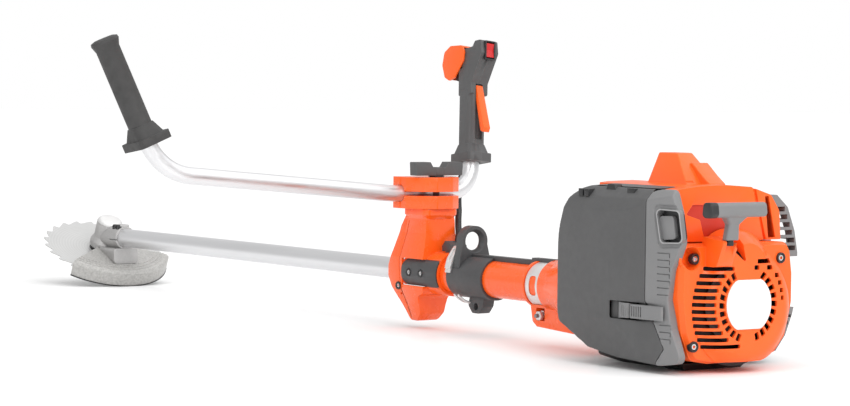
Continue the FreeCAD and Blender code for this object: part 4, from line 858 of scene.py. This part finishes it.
def column():
    """Two cast shells that taper to the drive tube, with a seam line, the side plate and its screws."""
    limit = ((-220, 140), (-90, 140), (-90, 88), (-70, 36), (-58, 8), (-58, -8), (-72, -32), (-92, -60),
             (-104, -80), (-220, -90))
    seam = ((-103, 78), (-86, 17), (-90, -22), (-106, -80), (-107.8, -80), (-91.6, -22), (-87.6, 17),
            (-104.6, 78))
    for node in ("av_housing", "av_cover"):
        shell = overlap_of(copy_of(node), prism("limit", limit, "y", -60, 60, 5))
        carve(shell, prism("seam_line", seam, "y", 20, 60), prism("seam_line", seam, "y", -60, -20))
        show(edged(shell, 1.2, 3, 24), node + "_shell", "frame", ORANGE_PAINT, "orange_paint", node)
    plate = copy_of("side_plate")
    overlap_of(plate,
               prism("ends", ((-185.5, -19.5), (-94.5, -19.5), (-94.5, 20.5), (-185.5, 20.5)), "y", 0, 60,
                     (2, 13, 13, 2), 8))
    show(edged(plate, 0.7), "side_plate_shell", "frame", GREY_DARK, "dark_plastic", "side_plate")
    bed = moved(copy_of("side_plate"), Matrix.Diagonal((1, 0.972, 0.999, 1)))
    show(bed, "side_plate_bed", "frame", ORANGE_PAINT, "orange_paint")
    for i, x in enumerate(SIDE_PLATE_SCREWS):
        socket_screw(f"side_plate_screw_{i + 1}", (x, 34.6, 0), (0, 1, 0), 3.4, CAST_LIGHT)
    socket_screw("column_screw", (-86, 34.0, -22), (0, 1, 0), 3.4, CAST_LIGHT)


def suspension():
    """Sleeve, eye, its folded steel clip with a slot, the hooks, and the cable's clip and channel."""
    sleeve = carve(copy_of("suspension_sleeve"), rod("lug_hole", (-255, -30, -43), (0, 1, 0), 5.4, 60))
    show(edged(sleeve, 0.8), "suspension_sleeve_shell", "harness_mount", GREY_DARK, "dark_plastic",
         "suspension_sleeve")
    foot = ((29, 14), (27, 30), (22, 50), (-22, 50), (-27, 30), (-29, 14))
    eye = prism("eye", foot, "x", EYE_X - 10, EYE_X + 6)
    weld(eye, turned("ring", ((-10, 22.8), (6, 22.8)), along((EYE_X, 0, EYE_Z), (1, 0, 0)), 64))
    carve(eye, rod("way", (EYE_X - 30, 0, 0), (1, 0, 0), 31.9, 60, 64),
          turned("hole", ((-12, 19), (-3, 13.5), (-1, 13.5), (8, 19)), along((EYE_X, 0, EYE_Z), (1, 0, 0)),
                 64))
    show(edged(eye, 1.6, 3), "suspension_eye_shell", "harness_mount", GREY_DARK, "dark_plastic",
         "suspension_eye")
    clip = overlap_of(copy_of("suspension_clip"), block("upper", (-240, -190), (-60, 60), (6, 60)))
    arm = prism("arm", ((31.6, 12), (34.4, 12), (30, 27), (22, 39), (17, 45), (12, 45), (18, 36), (26, 25)),
                "x", EYE_X + 7, EYE_X + 20, 1)
    weld(clip, arm)
    carve(clip,
          prism("slot", ((28, 24), (36, 22), (30, 36), (24, 44), (17, 40), (20, 37)), "x", EYE_X + 11,
                EYE_X + 16, 1))
    show(edged(clip, 0.4), "suspension_clip_shell", "harness_mount", CAST_LIGHT, "bright_steel",
         "suspension_clip")
    for i, x in enumerate((-222, -232)):
        hook = tube_along("hook", ((x, 26, -26), (x - 4, 20, -34), (x - 9, 8, -39), (x - 12, -6, -40)), 1.6)
        show(hook, f"harness_hook_{i + 1}", "harness_mount", CAST_LIGHT, "bright_steel")
    soft_copy("cable_clip", "cable_clip_shell", GREY_DARK, 0.8)
    soft_copy("cable_channel", "cable_channel_shell", GREY_DARK, 0.8)


def tube_joint():
    """Bright band clamp with its screw and nut, and the cast clutch cover that it holds."""
    soft_copy("tube_clamp", "tube_clamp_shell", CAST_LIGHT, 0.4)
    soft_copy("clamp_screw", "clamp_screw_shell", STEEL, 0.5)
    nut = moved(prism("nut", hexagon(7), "z", 0, 6), along((-422, 16.5, -43), (0, 1, 0)))
    show(edged(nut, 0.6), "clamp_nut", "frame", CAST_LIGHT, "bright_steel")
    end = rod("screw_end", (-422, 22, -43), (0, 1, 0), 3, 5)
    show(edged(end, 0.5), "clamp_screw_end", "frame", DARK_STEEL, "steel")
    soft_copy("clutch_cover", "clutch_cover_shell", ORANGE_PAINT, 1.4, 3, 24)


def smooth_route(points):
    """Points along a smooth line that is drawn to a list of corners."""
    data = bpy.data.curves.new("route", "CURVE")
    data.dimensions = "3D"
    data.resolution_u = 12
    spline = data.splines.new("NURBS")
    spline.points.add(len(points) - 1)
    for point, place in zip(spline.points, points):
        point.co = (*place, 1)
    spline.order_u = 3
    spline.use_endpoint_u = True
    obj = bpy.data.objects.new("route", data)
    bpy.context.scene.collection.objects.link(obj)
    mesh = bpy.data.meshes.new_from_object(obj)
    route = [vertex.co.copy() for vertex in mesh.vertices]
    bpy.data.objects.remove(obj)
    return route


def tube_along(name, corners, radius, rib=0.0, pitch=4.4, segments=20):
    """Tube along a smooth route, plain or with a rib at each pitch."""
    route = smooth_route(corners)
    lengths = [0.0]
    for a, b in zip(route, route[1:]):
        lengths.append(lengths[-1] + (b - a).length)
    steps = max(2, int(lengths[-1] / pitch * 4)) if rib else len(route) - 1
    verts = []
    normal = (route[1] - route[0]).orthogonal().normalized()
    piece = 0
    for step in range(steps + 1):
        reach = lengths[-1] * step / steps
        while piece < len(route) - 2 and lengths[piece + 1] < reach:
            piece += 1
        heading = (route[piece + 1] - route[piece]).normalized()
        centre = route[piece] + heading * (reach - lengths[piece])
        normal = (normal - heading * normal.dot(heading)).normalized()
        side = heading.cross(normal)
        size = radius - (rib if step % 4 in (0, 1) else 0)
        for i in range(segments):
            angle = 2 * math.pi * i / segments
            verts.append(centre + (normal * math.cos(angle) + side * math.sin(angle)) * size)
    faces = ring_faces(steps, segments)
    faces += [tuple(range(segments)), tuple(range(steps * segments, (steps + 1) * segments))]
    return new_object(name, verts, faces)


def conduit():
    """Corrugated throttle conduit: an upper half from the grip, and a lower half that meets it at the
    column."""
    top = RIGHT_GRIP @ Vector((21, 2, 4))
    below = RIGHT_GRIP @ Vector((21, 2, -22))
    meeting = Vector((-108, -63, 92))
    upper = tube_along("upper_conduit", (top, below, (-84, -78, 112), meeting), 5.0, 1.0)
    show(upper, "throttle_conduit_upper", None, BLACK, "black_rubber", "throttle_cable")
    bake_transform(upper)
    lower = tube_along("lower_conduit", (meeting, (-138, -40, 76), (-165, -23, 56), (-174, -13, 44)), 5.0,
                       1.0)
    show(lower, "throttle_conduit_lower", None, BLACK, "black_rubber")
    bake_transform(lower)


def pull_rope():
    """Starter rope between the cover and the handle."""
    rope = tube_along("rope", ((-850, 43, 84), (-850.5, 43, 88), (-851, 43, 92), (-852, 43, 98)), 1.8)
    show(rope, "starter_rope", None, BLACK, "black_rubber")
    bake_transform(rope)


def middle():
    jaws()
    column()
    suspension()
    tube_joint()
    conduit()
    pull_rope()


# ---------------------------------------------------------------- handlebar grips and controls

def throttle_handle():
    """Handle in two shells with screw holes, the stop switch in its bezel, the trigger and the lock-out."""
    for node in ("throttle_handle_left", "throttle_handle_right"):
        half = copy_of(node)
        if node == "throttle_handle_left":
            for x, z in ((6, 163), (9, 150)):
                place = RIGHT_GRIP @ Matrix.Translation((x, 17, z))
                hole = turned("screw_hole", ((-6, 3.4), (4, 3.4)),
                              place @ Matrix.Rotation(math.radians(-90), 4, "X"), 24)
                carve(half, hole)
        show(edged(half, 1.2, 3, 24), node + "_shell", "bars", GREY, "dark_plastic", node)
    bezel = block("bezel", (-45.6, -40), (-9.6, 9.6), (155, 185))
    carve(bezel, block("bezel_way", (-60, -30), (-7.4, 7.4), (157.2, 182.8)))
    show(edged(moved(bezel, RIGHT_GRIP), 0.8), "switch_bezel", "bars", BLACK, "dark_plastic")
    soft_copy("stop_switch", "stop_switch_rocker", RED, 0.6)
    soft_copy("throttle_trigger", "throttle_trigger_shell", ORANGE, 1.6, 3)
    soft_copy("throttle_lockout", "throttle_lockout_lever", ORANGE, 0.9)


def bars():
    throttle_handle()
    soft_copy("left_grip", "left_grip_shell", RUBBER, 2.0, 3)


# ---------------------------------------------------------------- cutting head

GUARD_FROM, GUARD_TO = 125, 242    # degrees about the output axis, from straight ahead, towards the left


def gear_head():
    """Cast gear housing, its pale cap, the collar's screws and the discs that hold the blade."""
    soft_copy("gear_housing", "gear_housing_shell", CAST, 1.8, 3, 24)
    soft_copy("gear_cap", "gear_cap_shell", CAST_LIGHT, 1.2, 3)
    for i, x in enumerate((853, 866)):
        socket_screw(f"collar_screw_{i + 1}", (x, 12.5, 18.8), (0, 1, 0), 2.6, DARK_STEEL)
    soft_copy("support_flange", "support_flange_shell", BLACK_STEEL, 0.6)
    soft_copy("drive_disc", "drive_disc_shell", BLACK_STEEL, 0.5)


def cut_to_sweep(obj):
    """Keep the part of a shape in the cutting head's frame that the guard covers."""
    for turn in (GUARD_FROM, GUARD_TO - 180):
        half = block("half", (-200, 200), (0, 200), (-60, 60))
        overlap_of(obj, moved(half, Matrix.Rotation(math.radians(turn), 4, "Z")))
    return obj


def guard():
    """Mottled guard with a black ring along its lower edge as a painted shade line."""
    shell = cut_to_sweep(moved(copy_of("blade_guard"), HEAD.inverted()))
    show(edged(moved(shell, HEAD), 1.4, 3, 24), "blade_guard_shell", "frame", GUARD, "guard_plastic",
         "blade_guard")
    # Painted shade: a thin black ring under the guard's lower edge stands for the dark line of shade there.
    section = ((-15, 117.6), (-15, 120.8), (-13, 120.8), (-13, 117.6), (-15, 117.6))
    shade_line = cut_to_sweep(turned("shade_line", section, Matrix.Identity(4), 120))
    show(moved(shade_line, HEAD), "blade_guard_shade_line", "frame", BLACK, "guard_plastic")


def cutting():
    gear_head()
    guard()


# ---------------------------------------------------------------- stage, lights and camera

FLOOR_REACH = 30           # metres from the middle to each side
WORLD_STRENGTH = 0.72
FLOOR_GLOSS = 0.13


def camera():
    """Camera at the viewing angle of the reference."""
    place = Vector((-3353.8, 2278.6, 278.9))
    right = Vector((-0.57400, -0.81878, 0.01112))
    down = Vector((-0.04238, 0.01615, -0.99897))
    forward = Vector((0.81776, -0.57388, -0.04397))
    data = bpy.data.cameras.new("camera")
    data.lens = 110.12
    data.sensor_width = 36
    data.clip_end = 50
    obj = bpy.data.objects.new("camera", data)
    axes = Matrix((right, -down, -forward)).transposed().to_4x4()
    obj.matrix_world = Matrix.Translation(ROW @ place) @ axes
    bpy.context.scene.collection.objects.link(obj)
    bpy.context.scene.camera = obj


def lamp(name, place, target, size, power):
    """Soft square area light aimed at a target, both in the shaft frame."""
    data = bpy.data.lights.new(name, "AREA")
    data.size = size / 1000
    data.energy = power
    obj = bpy.data.objects.new(name, data)
    start, end = ROW @ Vector(place), ROW @ Vector(target)
    aim = (start - end).to_track_quat("Z", "Y").to_matrix().to_4x4()
    obj.matrix_world = Matrix.Translation(start) @ aim
    bpy.context.scene.collection.objects.link(obj)


def floor_finish():
    """White studio floor with a faint blurred reflection."""
    material = bpy.data.materials.new("studio_floor")
    material.use_nodes = True
    nodes, links = material.node_tree.nodes, material.node_tree.links
    nodes.remove(nodes["Principled BSDF"])
    matt = nodes.new("ShaderNodeBsdfDiffuse")
    matt.inputs["Color"].default_value = (0.97, 0.97, 0.97, 1)
    mirror = nodes.new("ShaderNodeBsdfGlossy")
    mirror.inputs["Roughness"].default_value = 0.10
    blend = nodes.new("ShaderNodeMixShader")
    blend.inputs["Fac"].default_value = FLOOR_GLOSS
    links.new(matt.outputs["BSDF"], blend.inputs[1])
    links.new(mirror.outputs["BSDF"], blend.inputs[2])
    links.new(blend.outputs["Shader"], nodes["Material Output"].inputs["Surface"])
    return material


def stage():
    """White floor, even white surroundings and soft lamps."""
    world = bpy.data.worlds.new("studio")
    world.use_nodes = True
    nodes, links = world.node_tree.nodes, world.node_tree.links
    glow = nodes["Background"]
    glow.inputs["Color"].default_value = (1, 1, 1, 1)
    glow.inputs["Strength"].default_value = WORLD_STRENGTH
    backdrop = nodes.new("ShaderNodeBackground")
    backdrop.inputs["Color"].default_value = (1, 1, 1, 1)
    path = nodes.new("ShaderNodeLightPath")
    pick = nodes.new("ShaderNodeMixShader")
    links.new(path.outputs["Is Camera Ray"], pick.inputs["Fac"])
    links.new(glow.outputs["Background"], pick.inputs[1])
    links.new(backdrop.outputs["Background"], pick.inputs[2])
    links.new(pick.outputs["Shader"], nodes["World Output"].inputs["Surface"])
    bpy.context.scene.world = world
    bpy.context.scene.view_settings.view_transform = "Standard"
    floor_level = min(v[2] for v in cad_box)
    corners = [(x, y, floor_level) for x, y in ((-FLOOR_REACH, -FLOOR_REACH), (FLOOR_REACH, -FLOOR_REACH),
                                                (FLOOR_REACH, FLOOR_REACH), (-FLOOR_REACH, FLOOR_REACH))]
    floor = bpy.data.meshes.new("floor")
    floor.from_pydata(corners, [], [(0, 1, 2, 3)])
    floor_obj = bpy.data.objects.new("floor", floor)
    bpy.context.scene.collection.objects.link(floor_obj)
    floor.materials.append(floor_finish())
    lamp("key", (-3000, 300, 1500), (-600, 0, 50), 1600, 26)
    lamp("front", (-1200, 3000, 1700), (-300, 100, 50), 1800, 18)
    sky = bpy.data.lights.new("overhead", "SUN")
    sky.energy = 1.5
    sky.angle = math.radians(100)
    overhead = bpy.data.objects.new("overhead", sky)
    overhead.rotation_euler = (math.radians(12), math.radians(-14), 0)
    bpy.context.scene.collection.objects.link(overhead)


paint_cad()
engine()
middle()
bars()
cutting()
camera()
stage()
